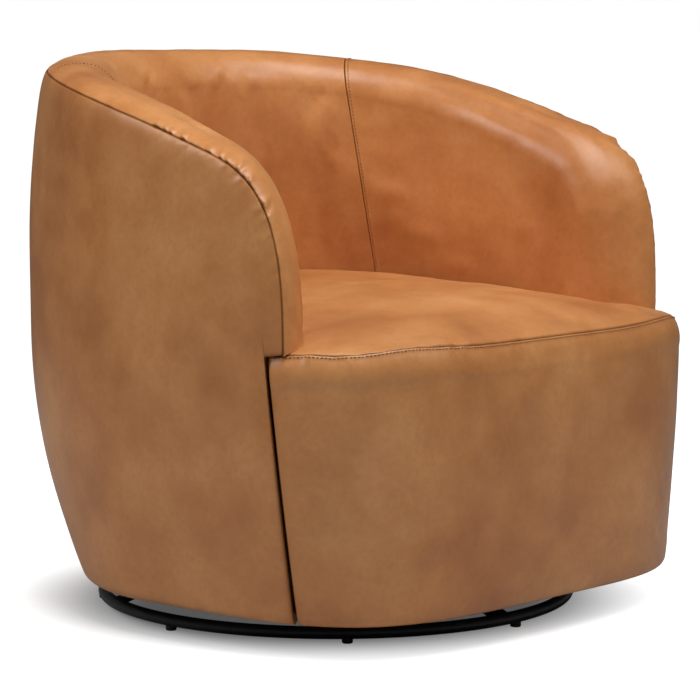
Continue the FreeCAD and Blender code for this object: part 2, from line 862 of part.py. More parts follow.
def upper_plate():
    """The swivel plate screwed to the chair, with the upper ball race."""
    plate = rounded_plate(upper_plate_side, upper_plate_side, upper_plate_bottom, plate_thickness, 90)
    plate = plate.fuse(race(ball_height + race_opening, upper_plate_bottom)).removeSplitter()
    for spot in screw_spots():
        plate = plate.cut(cylinder(screw_radius + ball_gap, upper_plate_bottom, upper_plate_top, spot))
    return plate.cut(cylinder(pivot_radius + pivot_gap, upper_plate_bottom, upper_plate_top))


def pivot_rivet():
    """The hollow rivet that holds the two plates together."""
    head_low = upper_plate_top + cage_gap
    rivet = cylinder(pivot_radius, strap_top, head_low)
    rivet = rivet.fuse(cylinder(pivot_head_radius, head_low, head_low + pivot_head_height))
    bore = cylinder(pivot_radius / 2, strap_top, head_low + pivot_head_height)
    return rivet.removeSplitter().cut(bore)


def ball_spots():
    return [polar(ball_circle_radius, 360 * i / ball_count, ball_height) for i in range(ball_count)]


def bearing_balls():
    return Part.makeCompound([Part.makeSphere(ball_radius, spot) for spot in ball_spots()])


def ball_cage():
    """The thin ring that keeps the balls apart."""
    low = ball_height - cage_thickness / 2
    high = ball_height + cage_thickness / 2
    cage = cylinder(ball_circle_radius + cage_half_width, low, high)
    cage = cage.cut(cylinder(ball_circle_radius - cage_half_width, low, high))
    for spot in ball_spots():
        cage = cage.cut(cylinder(ball_radius + cage_gap, low, high, spot))
    return cage


def hexagon(radius, low, high, spot):
    corners = [polar(radius, 60 * i, low) + Vector(spot.x, spot.y, 0) for i in range(6)]
    return Part.Face(polygon(corners)).extrude(Vector(0, 0, high - low))


def plate_bolts():
    """Hexagon bolts up through the straps and the lower plate."""
    bolts = []
    for spot in bolt_spots():
        head_top = strap_top - strap_thickness
        head = hexagon(bolt_head_radius, head_top - bolt_head_height, head_top, spot)
        shank = cylinder(bolt_radius, head_top, lower_plate_top + nut_height + bolt_tail, spot)
        bolts.append(head.fuse(shank).removeSplitter())
    return Part.makeCompound(bolts)


def plate_nuts():
    nuts = []
    for spot in bolt_spots():
        nut = hexagon(bolt_head_radius, lower_plate_top, lower_plate_top + nut_height, spot)
        bore = cylinder(bolt_radius + pivot_gap, lower_plate_top, lower_plate_top + nut_height, spot)
        nuts.append(nut.cut(bore))
    return Part.makeCompound(nuts)


def plate_screws():
    """Wood screws up through the upper plate into the board."""
    screws = []
    for spot in screw_spots():
        head = cylinder(screw_head_radius, upper_plate_bottom - screw_head_height,
                        upper_plate_bottom, spot)
        shank = cylinder(screw_radius, upper_plate_bottom, upper_plate_top + screw_length - 1, spot)
        screws.append(head.fuse(shank).removeSplitter())
    return Part.makeCompound(screws)


def build():
    os.makedirs("parts", exist_ok=True)
    pieces = {
        "base_ring": base_ring(),
        "floor_glides": floor_glides(),
        "lower_cross_strap": cross_strap(strap_azimuths[0], True),
        "upper_cross_strap": cross_strap(strap_azimuths[1], False),
        "swivel_lower_plate": lower_plate(),
        "lower_plate_bolts": plate_bolts(),
        "lower_plate_nuts": plate_nuts(),
        "bearing_balls": bearing_balls(),
        "ball_cage": ball_cage(),
        "swivel_rivet": pivot_rivet(),
        "swivel_upper_plate": upper_plate(),
        "upper_plate_screws": plate_screws(),
        "swivel_board": swivel_board(),
        "bottom_frame": bottom_frame(),
        "dust_cover": dust_cover(),
        "front_panel": front_panel(),
        "seat_rail": seat_rail(),
        "top_rail": top_rail(),
        "back_rib_centre": frame_rib(180.0),
        "felt_pad": felt_pad(),
        "seat_pad": seat_pad(),
        "front_apron": front_apron(),
        "back_pad": back_pad()}
    pieces["long_webbing"], pieces["cross_webbing"] = webbing()
    for place, azimuth in rib_azimuths.items():
        pieces["right_" + place + "_rib"] = frame_rib(azimuth)
        pieces["left_" + place + "_rib"] = frame_rib(360 - azimuth)
    handed = {"outer_cover": outer_cover(), "arm_pad": arm_pad(), "arm_post": arm_post()}
    for name, shape in handed.items():
        pieces["right_" + name] = shape
        pieces["left_" + name] = mirrored(shape)
    for name, shape in pieces.items():
        export(name, shape)


build()
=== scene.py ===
import json
import math

import bpy
import numpy as np
from mathutils import Matrix, Vector
from mathutils.geometry import delaunay_2d_cdt


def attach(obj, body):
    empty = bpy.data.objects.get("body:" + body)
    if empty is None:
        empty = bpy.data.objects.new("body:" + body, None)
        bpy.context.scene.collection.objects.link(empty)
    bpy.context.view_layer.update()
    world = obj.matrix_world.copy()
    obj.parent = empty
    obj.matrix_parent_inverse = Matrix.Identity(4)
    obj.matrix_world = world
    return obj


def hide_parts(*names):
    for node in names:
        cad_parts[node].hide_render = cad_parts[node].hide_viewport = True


# The looks of a swivel barrel chair. Shapes are worked out in millimetres about the
# swivel axis, with azimuths in degrees from the front of the chair, and each mesh is
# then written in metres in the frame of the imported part.

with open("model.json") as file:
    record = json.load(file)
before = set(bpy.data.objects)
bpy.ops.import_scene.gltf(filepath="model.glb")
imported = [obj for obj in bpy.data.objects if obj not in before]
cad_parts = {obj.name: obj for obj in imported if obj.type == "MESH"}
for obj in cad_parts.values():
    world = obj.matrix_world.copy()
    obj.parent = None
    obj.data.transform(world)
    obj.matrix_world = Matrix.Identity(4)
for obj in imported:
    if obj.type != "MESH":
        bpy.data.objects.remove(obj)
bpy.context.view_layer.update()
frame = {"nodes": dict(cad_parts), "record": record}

MM = 0.001
AXIS_SHIFT = 19.0

# The barrel: reaches from the axis, and the shares drawn in at the bottom and the top
SIDE_REACH, FRONT_REACH, BACK_REACH = 394.0, 384.0, 422.0
FRONT_SQUARENESS, BACK_SQUARENESS = 4.0, 2.0
WIDEST_HEIGHT, BODY_BOTTOM = 388.0, 44.0
SIDE_DRAW_LOW, FRONT_DRAW_LOW, BACK_DRAW_LOW = 0.087, 0.023, 0.40
SIDE_DRAW_TOP, BACK_DRAW_TOP = 0.045, 0.091
LOW_CURVE, TOP_CURVE = 2.33, 2.94

# The rim seam
BACK_SEAM, ARM_SEAM, ARM_FOOT = 719.0, 630.0, 330.0
CORNER_AZIMUTH, ARM_FRONT_AZIMUTH = 75.0, 55.6
RIM_FALL, CORNER_SQUARENESS = 2.65, 3.9

# The inside pads
WALL, COVER, PAD = 100.0, 12.0, 41.0
ROLL_RISE, ROLL_MIDDLE, ROLL_SHOULDER = 12.0, 45.0, 42.0
PAD_CROWN, PAD_FOOT_AZIMUTH = 6.0, 67.0
RAIL_DROP, ROLL_GAP = 22.0, 1.5
PANEL_SEAM_AZIMUTH, PANEL_SEAM_LEAN, PANEL_SEAM_HALF = 124.75, 0.16, 0.2
BOTTOM_ROUND = 12.0

# The seat and its apron
SEAT_SEAM, SEAT_RISE, SEAT_LOW = 381.0, 44.0, 323.0
NOTCH = 388.0
APRON_LOW, APRON_TOP, APRON_DEPTH, APRON_GAP = 54.0, 58.5, 40.0, 3.0
APRON_TUCK, APRON_ROUND = 9.0, 41.0
SEAT_INSIDE, EAR_SHARE = 102.5, 0.75
CROWN_SPAN = 300.0
CROWN_KEYS = (-1.04, -0.975, -0.885, -0.73, -0.52, -0.30, 0.0, 0.25, 0.50, 0.80, 1.00)
CROWN_MIDDLE = (-0.45, 0.02, 0.40, 0.68, 0.86, 0.95, 1.0, 1.0, 0.95, 0.75, 0.50)
CROWN_SIDE = (-0.50, -0.03, 0.02, 0.16, 0.18, 0.26, 0.39, 0.45, 0.50, 0.40, 0.30)

# Leather: grid spacing, turned edges, reach of the painted shade along seams and gaps, and fullness below
# the rim
GRID, FINE_GRID, LINE_POINTS = 3.0, 0.8, 1500
EDGE_ROUND, PANEL_ROUND, GAP_ROUND = 3.0, 1.0, 6.0
RIM_SHADE, SEAT_SHADE, PANEL_SHADE, GAP_SHADE = 1.6, 0.9, 0.6, 2.5
PANEL_PUFF, PUFF_START, PUFF_REACH = 4.0, 11.0, 110.0
EAR_CLEAR = 0.8

# The clearance beside the apron, as an angle at the front corner of the body
CORNER_REACH = 440.0
GAP_CLEAR = math.degrees(APRON_GAP / CORNER_REACH)

# The roll and the face of the pads, and the rows of their grid
SHOULDER_FADE, SHOULDER_UP, SHOULDER_IN = 60.0, 11.0, 10.0
FACE_SHARE, PAD_SINK = 0.8, 2.0
SEAM_LENGTH, ROLL_ROWS, FACE_ROWS, SEAT_ROWS = 46, 26, 60, 10
WALL_HEART = 370.0

# How the arm's sections stop leaning: degrees past the seam, and shares of the lean
LEAN_FADE = (0, 5, 15, 26), (1, 0.9, 0.5, 0)

# The mesh of the seat: triangles, rings inside its edge, and levels down its side
EDGE_PITCH, SEAT_PITCH, SEAT_MARGIN = 2.4, 5.0, 25.0
SEAT_INSETS = (1.2, 2.6, 4.5, 7.0, 10.0, 13.5, 17.5, 22.0)
SEAT_ROUND, SEAT_BACK_ROUND = 2.5, 7.0
SEAT_DROPS = (3.0, 8.0, 20.0)

# Random swells and gathers: shares of the sizes asked for
WAVE_COUNT, WAVE_SIZES, WAVE_PHASES, WAVE_PEAK = 14, (0.7, 1.5), 6.28, 5
FOLD_REACHES, FOLD_HEIGHTS, FOLD_SIGNS = (0.45, 1.3), (0.35, 1.0), (1, 1, -0.8)
FOLD_LEAN, FOLD_START = 0.22, 1.5

# Topstitching, and the doubled leather under it
STITCH_PITCH, STITCH_LENGTH, STITCH_RADIUS = 5.0, 3.5, 0.55
STITCH_SIDES, STITCH_TAPER, STITCH_BOW = 6, (0.45, 0.95, 1.0, 0.95, 0.45), 1.45
STITCH_OFFSET, FOLD_STRIP, FOLD_EDGE = 4.2, 0.55, 0.8

# The cloth simulation: grid, edge held still, onset beyond it, and the most each pad gives
CLOTH_SPACING, CLOTH_HOLD, CLOTH_START = 13.0, 12.0, 20.0
PAD_GIVE, SEAT_GIVE, APRON_GIVE = 8.0, 9.0, 4.0
CLOTH_FRAMES, CLOTH_PRESSURE = 20, 4.0
CLOTH_SETTINGS = {
    "quality": 6, "mass": 0.3, "tension_stiffness": 40.0, "compression_stiffness": 40.0,
    "shear_stiffness": 20.0, "bending_stiffness": 2.0, "shrink_min": -0.005,
    "use_pressure": True, "uniform_pressure_force": CLOTH_PRESSURE, "vertex_group_mass": "held"}

# The polar grid of the seat's simulation
SEAT_CENTRE = np.array([0.0, -40.0])
SPOKES, RINGS, FIRST_RING = 90, 18, 0.06
SPOKE_SPLIT, RING_SPLIT, SPOKE_WRAP = 4, 6, 4
WALL_AZIMUTH, NO_WALL = 48, 99

# Colours of the leather
LEATHER_DARK = (0.49, 0.178, 0.054)
LEATHER_MIDDLE = (0.64, 0.268, 0.088)
LEATHER_LIGHT = (0.76, 0.352, 0.130)
CLOUD_TONE, FRECKLE_TONE = (0.84, 0.74, 0.62), (0.90, 0.87, 0.83)
# The painted shade for seams, gaps and hidden faces, mixed into the leather by share
PAINTED_SHADE_TONE = (0.12, 0.07, 0.04, 1)
WHITE = (1, 1, 1)

# The floor, the light and the camera, in metres and degrees
FLOOR_REACH, FLOOR_TONE, WORLD_LIGHT = 60.0, 0.55, 0.08
# Glow of the floor to the camera by distance from the axis: low near the chair, a painted shadow, and full
# beyond
FLOOR_GLOW_AND_PAINTED_SHADE = {"From Min": 0.27, "From Max": 0.47, "To Min": 0.09, "To Max": 1.0}
SENSOR, FOCAL_PIXELS, PHOTO_PIXELS, FAR_CLIP = 36.0, 3049.4, 700, 120.0
CAMERA_SPOT, CAMERA_TURN, CAMERA_PITCH = (-3.0019, -2.7607, 0.7907), -47.86, 6.409


def shrink(height, low_draw, top_draw):
    """Share of a reach that is left at a height of the barrel."""
    fall = np.clip((WIDEST_HEIGHT - height) / WIDEST_HEIGHT, 0, None)
    rise = np.clip((height - WIDEST_HEIGHT) / (BACK_SEAM - WIDEST_HEIGHT), 0, None)
    return 1 - low_draw * fall ** LOW_CURVE - top_draw * rise ** TOP_CURVE


def outline_radius(azimuth, height):
    """Reach of the outside of the body from the swivel axis."""
    across = np.abs(np.sin(np.radians(azimuth)))
    along = np.cos(np.radians(azimuth))
    side = SIDE_REACH * shrink(height, SIDE_DRAW_LOW, SIDE_DRAW_TOP)
    front = FRONT_REACH * shrink(height, FRONT_DRAW_LOW, SIDE_DRAW_TOP)
    back = BACK_REACH * shrink(height, BACK_DRAW_LOW, BACK_DRAW_TOP)
    square = (across / side) ** FRONT_SQUARENESS + (np.abs(along) / front) ** FRONT_SQUARENESS
    round_ = (across / side) ** BACK_SQUARENESS + (np.abs(along) / back) ** BACK_SQUARENESS
    return np.where(along > 0, square ** (-1 / FRONT_SQUARENESS), round_ ** (-1 / BACK_SQUARENESS))


def polar(radius, azimuth, height):
    angle = np.radians(azimuth)
    parts = np.broadcast_arrays(radius * np.sin(angle), -radius * np.cos(angle), height)
    return np.stack(parts, axis=-1)


def azimuth_of(points):
    return np.degrees(np.arctan2(points[..., 0], -points[..., 1]))


def on_body(azimuth, height, depth=0.0):
    return polar(outline_radius(azimuth, height) - depth, azimuth, height)


def seam_height(azimuth):
    """Height of the rim seam over the back and the arms, before the arm corner."""
    fall = np.clip((180 - azimuth) / (180 - CORNER_AZIMUTH), 0, 1)
    slope = RIM_FALL * (BACK_SEAM - ARM_SEAM) / (180 - CORNER_AZIMUTH)
    ahead = np.clip(CORNER_AZIMUTH - azimuth, 0, None)
    return BACK_SEAM - (BACK_SEAM - ARM_SEAM) * fall ** RIM_FALL - slope * ahead


def corner_point(turn):
    """Azimuth and height of the rim seam, turn degrees round the arm corner."""
    forward = np.sin(np.radians(turn))
    upward = np.clip(np.cos(np.radians(turn)), 0, None)
    size = (forward ** CORNER_SQUARENESS + upward ** CORNER_SQUARENESS) ** (1 / CORNER_SQUARENESS)
    azimuth = CORNER_AZIMUTH - (CORNER_AZIMUTH - ARM_FRONT_AZIMUTH) * forward / size
    return azimuth, ARM_FOOT + (seam_height(azimuth) - ARM_FOOT) * upward / size


def gap_azimuth(height):
    """Azimuth of the gap between the apron and the wall."""
    return APRON_LOW + (APRON_TOP - APRON_LOW) * (height - BODY_BOTTOM) / (SEAT_SEAM - BODY_BOTTOM)


def lengths(points):
    """Distance run along a line of points."""
    steps = np.linalg.norm(np.diff(points, axis=0), axis=-1)
    return np.concatenate([np.zeros((1,) + steps.shape[1:]), np.cumsum(steps, axis=0)])


def lengths_across(grid):
    """Distance run along each row of a grid."""
    return lengths(grid.transpose(1, 0, 2)).T


def from_ends(grid):
    """Distance along each row of a grid from its nearer end."""
    run = lengths_across(grid)
    return np.minimum(run, run[:, -1:] - run)


def resample(line, run, spots):
    """A line of points, at other distances along it."""
    return np.stack([np.interp(spots, run, values) for values in line.T], -1)


def graded(stretches):
    """Places along a length, from (end, spacing) stretches."""
    spots = [0.0]
    for end, spacing in stretches:
        count = max(1, round((end - spots[-1]) / spacing))
        spots += list(np.linspace(spots[-1], end, count + 1)[1:])
    return np.array(spots)


def even_picks(run, spacing):
    """Which points of a line lie about evenly along it, both ends among them."""
    spots = np.linspace(0, run[-1], int(run[-1] / spacing) + 1)
    return np.unique(np.abs(run[:, None] - spots[None]).argmin(0))


def refine(values, row_keys, rows, column_keys, columns):
    """A grid of values carried over to a finer grid by smooth curves."""
    tall = np.stack([cubic(row_keys, values[:, k], rows) for k in range(values.shape[1])], -1)
    return np.stack([cubic(column_keys, line, columns) for line in tall])


def dense_start(length):
    """Shares of a length, close together at its start."""
    spots = np.linspace(0, length, int(length / GRID) + 1)
    return np.concatenate([FINE_GRID * np.arange(6), spots[spots > 6 * FINE_GRID]]) / length


def arc(start, middle, end, shares):
    """Points along the arcs through three points each, one arc for each column."""
    u, v = middle - start, end - start
    w = np.cross(u, v)
    uu, vv = (u * u).sum(-1, keepdims=True), (v * v).sum(-1, keepdims=True)
    centre = start + (vv * np.cross(w, u) + uu * np.cross(v, w)) / (2 * (w * w).sum(-1, keepdims=True))
    first = start - centre
    second = np.cross(w / np.linalg.norm(w, axis=-1, keepdims=True), first)
    last = end - centre
    turn = np.arctan2((last * second).sum(-1), (last * first).sum(-1)) % (2 * np.pi)
    angles = np.asarray(shares)[:, None, None] * turn[None, :, None]
    return centre + np.cos(angles) * first + np.sin(angles) * second


def steps(count):
    return np.linspace(0, 1, count)[1:]


def straight(start, end, shares):
    return start + np.asarray(shares)[:, None, None] * (end - start)


class Fan:
    """Flat sections through the wall, each standing on a foot and passing a rim point."""

    def __init__(self, foot, rim):
        self.azimuth = (foot[0] + rim[0]) / 2
        self.foot_height, self.rim_height = foot[1], rim[1]
        self.foot_side, self.rim_side = self.sideways(foot), self.sideways(rim)
        self.length = np.hypot(self.rim_side - self.foot_side, self.rim_height - self.foot_height)

    def sideways(self, spot):
        return outline_radius(*spot) * np.sin(np.radians(spot[0] - self.azimuth))

    def point(self, beyond, depth):
        """The points so far beyond the rim and so deep in the wall."""
        share = 1 + beyond / self.length
        side = self.foot_side + (self.rim_side - self.foot_side) * share
        height = self.foot_height + (self.rim_height - self.foot_height) * share
        out = outline_radius(self.azimuth, height) - depth
        for _ in range(6):
            azimuth = self.azimuth + np.degrees(np.arctan2(side, out))
            out = np.sqrt((outline_radius(azimuth, height) - depth) ** 2 - side ** 2)
        angle = np.radians(self.azimuth)
        x = out * np.sin(angle) + side * np.cos(angle)
        y = -out * np.cos(angle) + side * np.sin(angle)
        return np.stack([x, y, height], axis=-1)


def rounding(distance, radius):
    """How far a rounded edge falls back at a distance from it."""
    rest = np.clip(1 - distance / radius, 0, 1)
    return radius * (1 - np.sqrt(1 - rest ** 2))


def waves(points, size, seed):
    """A smooth random field between about -1 and 1, with swells of the given size."""
    chance = np.random.default_rng(seed)
    total = np.zeros(points.shape[:-1])
    for _ in range(WAVE_COUNT):
        direction = chance.normal(size=3)
        direction /= np.linalg.norm(direction)
        scale = 2 * np.pi / (size * chance.uniform(*WAVE_SIZES))
        total += np.sin((points @ direction) * scale + chance.uniform(0, WAVE_PHASES))
    return total / WAVE_PEAK


def folds(along, away, seed, start, end, count, height, reach, width=(2.2, 5.0)):
    """Small gathers that run away from a seam between two places along it."""
    chance = np.random.default_rng(seed)
    total = np.zeros(along.shape)
    for _ in range(count):
        centre = chance.uniform(start, end)
        wide = chance.uniform(*width)
        far = reach * chance.uniform(*FOLD_REACHES)
        tall = height * chance.uniform(*FOLD_HEIGHTS) * chance.choice(FOLD_SIGNS)
        lean = chance.normal() * FOLD_LEAN
        near = (np.abs(along - centre) < 4 * wide + far) & (away < 4 * far)
        beyond = away[near]
        offset = (along[near] - centre - lean * beyond) / (wide * (1 + beyond / far))
        total[near] += tall * np.exp(-offset ** 2) * fade(beyond, far) * onset(beyond, FOLD_START)
    return total


def fade(distance, reach):
    """A share that falls from 1 with distance."""
    return np.exp(-distance / reach)


def onset(distance, reach):
    """A share that grows from 0 with distance."""
    return 1 - np.exp(-distance / reach)


# Share of painted shade, falling away from a seam
def seam_shade_share(distance, reach):
    return np.exp(-(distance / reach) ** 2)


def fold_strip(distance):
    """Height of the doubled leather under topstitching, by distance from its seam."""
    strip = np.clip((STITCH_OFFSET + FOLD_EDGE - distance) / FOLD_EDGE, 0, 1)
    return FOLD_STRIP * strip * np.clip(distance, 0, 1)


def grid_normals(points):
    """Directions square to a grid of points."""
    down = np.gradient(points, axis=0)
    along = np.gradient(points, axis=1)
    normals = np.cross(along, down)
    return normals / np.maximum(np.linalg.norm(normals, axis=-1, keepdims=True), 1e-9)


def cubic(keys, values, spots):
    """A smooth curve through the values at the keys."""
    keys, values = np.asarray(keys, float), np.asarray(values, float)
    count = len(keys)
    step = np.diff(keys)
    matrix, right = np.zeros((count, count)), np.zeros(count)
    matrix[0, 0] = matrix[-1, -1] = 1
    for i in range(1, count - 1):
        matrix[i, i - 1:i + 2] = step[i - 1], 2 * (step[i - 1] + step[i]), step[i]
        right[i] = 6 * ((values[i + 1] - values[i]) / step[i] - (values[i] - values[i - 1]) / step[i - 1])
    bend = np.linalg.solve(matrix, right)
    i = np.clip(np.searchsorted(keys, spots) - 1, 0, count - 2)
    h, a, b = step[i], keys[i + 1] - spots, spots - keys[i]
    first, last = values[i] / h - bend[i] * h / 6, values[i + 1] / h - bend[i + 1] * h / 6
    return (bend[i] * a ** 3 + bend[i + 1] * b ** 3) / (6 * h) + first * a + last * b


def crown(points):
    """Height of the top of the seat over or under some points."""
    x, y = points[..., 0], points[..., 1]
    share = np.clip(np.where(y < 0, y / FRONT_REACH, y / BACK_REACH), CROWN_KEYS[0], CROWN_KEYS[-1])
    middle = SEAT_SEAM + SEAT_RISE * cubic(CROWN_KEYS, CROWN_MIDDLE, share)
    drop = middle - SEAT_SEAM - SEAT_RISE * cubic(CROWN_KEYS, CROWN_SIDE, share)
    radius = (CROWN_SPAN ** 2 + drop ** 2) / (2 * np.maximum(drop, 0.5))
    return middle - radius + np.sqrt(radius ** 2 - x ** 2)


def to_frame(points, side=1):
    moved = np.array(points, float).reshape(-1, 3) * (side, 1, 1)
    moved[:, 1] -= AXIS_SHIFT
    return moved * MM


def new_object(name, data):
    made = bpy.data.objects.new(name, data)
    bpy.context.scene.collection.objects.link(made)
    return made


def make_object(name, points, faces, body, material):
    mesh = bpy.data.meshes.new(name)
    mesh.from_pydata([tuple(p) for p in points], [], faces)
    mesh.validate()
    mesh.polygons.foreach_set("use_smooth", [True] * len(mesh.polygons))
    mesh.materials.append(material)
    piece = new_object(name, mesh)
    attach(piece, body)
    return piece


def tube_faces(rows, columns, flip):
    """Faces of a grid whose rows close on themselves, with both its ends filled."""
    faces = []
    for r in range(rows):
        below = (r + 1) % rows
        for c in range(columns - 1):
            quad = (r * columns + c, r * columns + c + 1, below * columns + c + 1, below * columns + c)
            faces.append(quad[::-1] if flip else quad)
    first = range(0, rows * columns, columns)
    last = range(columns - 1, rows * columns, columns)
    faces.append(tuple(first[::-1] if flip else first))
    faces.append(tuple(last if flip else last[::-1]))
    return faces


class Look:
    """A material in the making."""

    def __init__(self, name):
        self.material = bpy.data.materials.new(name)
        self.material.use_nodes = True
        self.nodes, self.links = self.material.node_tree.nodes, self.material.node_tree.links
        self.shader = next(n for n in self.nodes if n.type == "BSDF_PRINCIPLED")
        self.place = self.node("TexCoord", {}).outputs["Object"]

    def feed(self, socket, value):
        """Links a socket to another node's output, or sets it to a plain value."""
        if hasattr(value, "is_linked"):
            self.links.new(value, socket)
        else:
            socket.default_value = value

    def node(self, kind, inputs):
        made = self.nodes.new("ShaderNode" + kind)
        for name, value in inputs.items():
            self.feed(made.inputs[name], value)
        return made

    def shade(self, name, value):
        self.feed(self.shader.inputs[name], value)

    def noise(self, scale, detail, roughness, stretch=None):
        place = self.place
        if stretch:
            place = self.node("Mapping", {"Scale": stretch, "Vector": place}).outputs["Vector"]
        inputs = {"Scale": scale, "Detail": detail, "Roughness": roughness, "Vector": place}
        return self.node("TexNoise", inputs).outputs["Fac"]

    def stripes(self, direction, scale, distortion):
        wave = self.node("TexWave", {"Scale": scale, "Distortion": distortion, "Vector": self.place})
        wave.bands_direction = direction
        return wave.outputs["Fac"]

    def ramp(self, value, *stops):
        """A colour or grey that changes with a value, from (position, colour) stops."""
        node = self.node("ValToRGB", {"Fac": value})
        keys = node.color_ramp.elements
        while len(keys) < len(stops):
            keys.new(0.5)
        for key, (position, colour) in zip(keys, stops):
            key.position = position
            key.color = (*colour, 1) if hasattr(colour, "__len__") else (colour, colour, colour, 1)
        return node.outputs["Color"]

    def multiply(self, share, first, second):
        """Two colours multiplied, as far as the share says."""
        node = self.nodes.new("ShaderNodeMix")
        node.data_type = "RGBA"
        node.blend_type = "MULTIPLY"
        for name, value in (("Factor", share), ("A", first), ("B", second)):
            self.feed(node.inputs[name], value)
        return node.outputs["Result"]

    def bump(self, *heights):
        """Chains bumps, each a (height, strength, depth in metres)."""
        last = None
        for height, strength, depth in heights:
            node = self.node("Bump", {"Strength": strength, "Distance": depth, "Height": height})
            if last:
                self.links.new(last, node.inputs["Normal"])
            last = node.outputs["Normal"]
        self.shade("Normal", last)


def leather_material():
    """Pull-up leather: mottled tan, a fine pebble grain and a soft wax gloss, with painted shade and less
    gloss along seams, gaps and hidden faces.
    """
    look = Look("tan_leather_hide")
    broad = look.noise(scale=5.0, detail=3.0, roughness=0.55)
    cloudy = look.noise(scale=17.0, detail=5.0, roughness=0.62)
    speckle = look.noise(scale=120.0, detail=4.0, roughness=0.6)
    tone = look.ramp(broad, (0.30, LEATHER_DARK), (0.50, LEATHER_MIDDLE), (0.72, LEATHER_LIGHT))
    tone = look.multiply(0.6, tone, look.ramp(cloudy, (0.32, CLOUD_TONE), (0.60, WHITE)))
    tone = look.multiply(0.6, tone, look.ramp(speckle, (0.35, FRECKLE_TONE), (0.60, WHITE)))
    # Painted shade: towards the seams, the gaps and the hidden faces the base colour darkens and the gloss
    # and coat fade
    attribute = look.node("Attribute", {})
    attribute.attribute_name = "painted_seam_shade"
    painted_seam_shade = attribute.outputs["Fac"]
    look.shade("Base Color", look.multiply(painted_seam_shade, tone, PAINTED_SHADE_TONE))
    look.shade("Roughness", look.ramp(cloudy, (0.30, 0.30), (0.70, 0.42)))
    look.shade("Specular IOR Level", look.ramp(painted_seam_shade, (0.0, 0.45), (0.8, 0.03)))
    look.shade("Coat Weight", look.ramp(painted_seam_shade, (0.0, 0.12), (0.5, 0.0)))
    look.shade("Coat Roughness", 0.26)
    pebble = look.node("TexVoronoi", {"Scale": 620.0, "Vector": look.place}).outputs["Distance"]
    wrinkle = look.noise(scale=55.0, detail=6.0, roughness=0.65)
    look.bump((pebble, 0.16, 0.0004), (wrinkle, 0.22, 0.0012))
    return look.material


def plain_material(name, colour, roughness, metallic=0.0, grain=400.0, depth=0.0002, spread=0.12,
                   stretch=None):
    """A paint, plastic, metal or cloth with uneven tone, gloss and surface."""
    look = Look(name)
    fine = look.noise(grain, 4.0, 0.6, stretch)
    slow = look.noise(grain / 12, 3.0, 0.5)
    dark = tuple(c * (1 - spread) for c in colour)
    light = tuple(min(c * (1 + spread) + 0.004, 1) for c in colour)
    tone = look.ramp(slow, (0.3, dark), (0.7, light))
    look.shade("Base Color", look.multiply(1.0, tone, look.ramp(fine, (0.35, 1 - spread), (0.65, 1.0))))
    look.shade("Roughness", look.ramp(fine, (0.3, roughness * 0.85), (0.7, min(roughness * 1.15, 1))))
    look.shade("Metallic", metallic)
    look.bump((fine, 0.35, depth))
    return look.material


def wood_material(name, light, dark, layers):
    """Wood with drawn out grain, or with the thin layers of plywood."""
    look = Look(name)
    grain = look.noise(30.0, 6.0, 0.65, (1.0, 6.0, 9.0))
    tone = look.ramp(grain, (0.30, dark), (0.62, light))
    if layers:
        stripe = look.ramp(look.stripes("Z", layers, 0.6), (0.2, (0.72, 0.66, 0.58)), (0.6, WHITE))
        tone = look.multiply(0.8, tone, stripe)
    look.shade("Base Color", tone)
    look.shade("Roughness", look.ramp(grain, (0.3, 0.75), (0.7, 0.6)))
    look.bump((grain, 0.4, 0.0006))
    return look.material


def weave_material(name, colour, pitch):
    """Threads that cross each other."""
    look = Look(name)
    along, across = (look.ramp(look.stripes(direction, 0.31 / pitch, 0.4), (0.1, 0.35), (0.6, 1.0))
                     for direction in "XY")
    weave = look.multiply(1.0, along, across)
    look.shade("Base Color", look.multiply(0.8, (*colour, 1), weave))
    look.shade("Roughness", 0.85)
    look.bump((weave, 0.5, 0.0005))
    return look.material


leather = leather_material()
thread = plain_material("waxed_thread", (0.24, 0.10, 0.035), 0.5, grain=2600.0)
finishes = {
    "black_powder_coat": plain_material("powder_coat", (0.016, 0.016, 0.018), 0.42, grain=900.0),
    "black_plastic": plain_material("moulded_plastic", (0.02, 0.02, 0.02), 0.6, grain=700.0),
    "plated_steel": plain_material("zinc_plate", (0.60, 0.60, 0.57), 0.34, 1.0, 350.0, 0.0001,
                                   stretch=(1.0, 9.0, 1.0)),
    "bearing_steel": plain_material("bearing_steel", (0.72, 0.72, 0.73), 0.12, 1.0, 500.0, 0.00002, 0.04),
    "plywood": wood_material("birch_plywood", (0.66, 0.50, 0.32), (0.47, 0.32, 0.18), 110.0),
    "frame_wood": wood_material("bent_hardwood", (0.58, 0.40, 0.24), (0.38, 0.24, 0.13), 0),
    "black_cloth": weave_material("non_woven_cloth", (0.03, 0.03, 0.03), 0.0012),
    "elastic_webbing": weave_material("webbing_weave", (0.11, 0.11, 0.12), 0.0022),
    "grey_felt": plain_material("pressed_felt", (0.33, 0.32, 0.31), 0.95, grain=1400.0, depth=0.0008,
                                spread=0.25)}

slots = {part["node"]: part["material_slot"] for part in frame["record"]["subparts"]}
for node, cad_piece in frame["nodes"].items():
    finish = finishes.get(slots[node], leather)
    cad_piece.data.materials.clear()
    cad_piece.data.materials.append(finish)


def set_painted_shade(piece, values):
    """Keeps how deep in a seam each point is, as a share of painted shade that darkens the leather there."""
    layer = piece.data.attributes.new("painted_seam_shade", "FLOAT", "POINT")
    layer.data.foreach_set("value", np.clip(values, 0, 1).astype(np.float32).ravel())


def closed_piece(name, front, back, dark, side, flip):
    """A leather piece of the chair from its visible and hidden rows."""
    stack = np.concatenate([front, back])
    faces = tube_faces(len(stack), stack.shape[1], flip)
    piece = make_object(name, to_frame(stack, side), faces, "chair", leather)
    # The hidden rows get full painted shade
    set_painted_shade(piece, np.concatenate([dark, np.ones(back.shape[:2])]))
    return piece


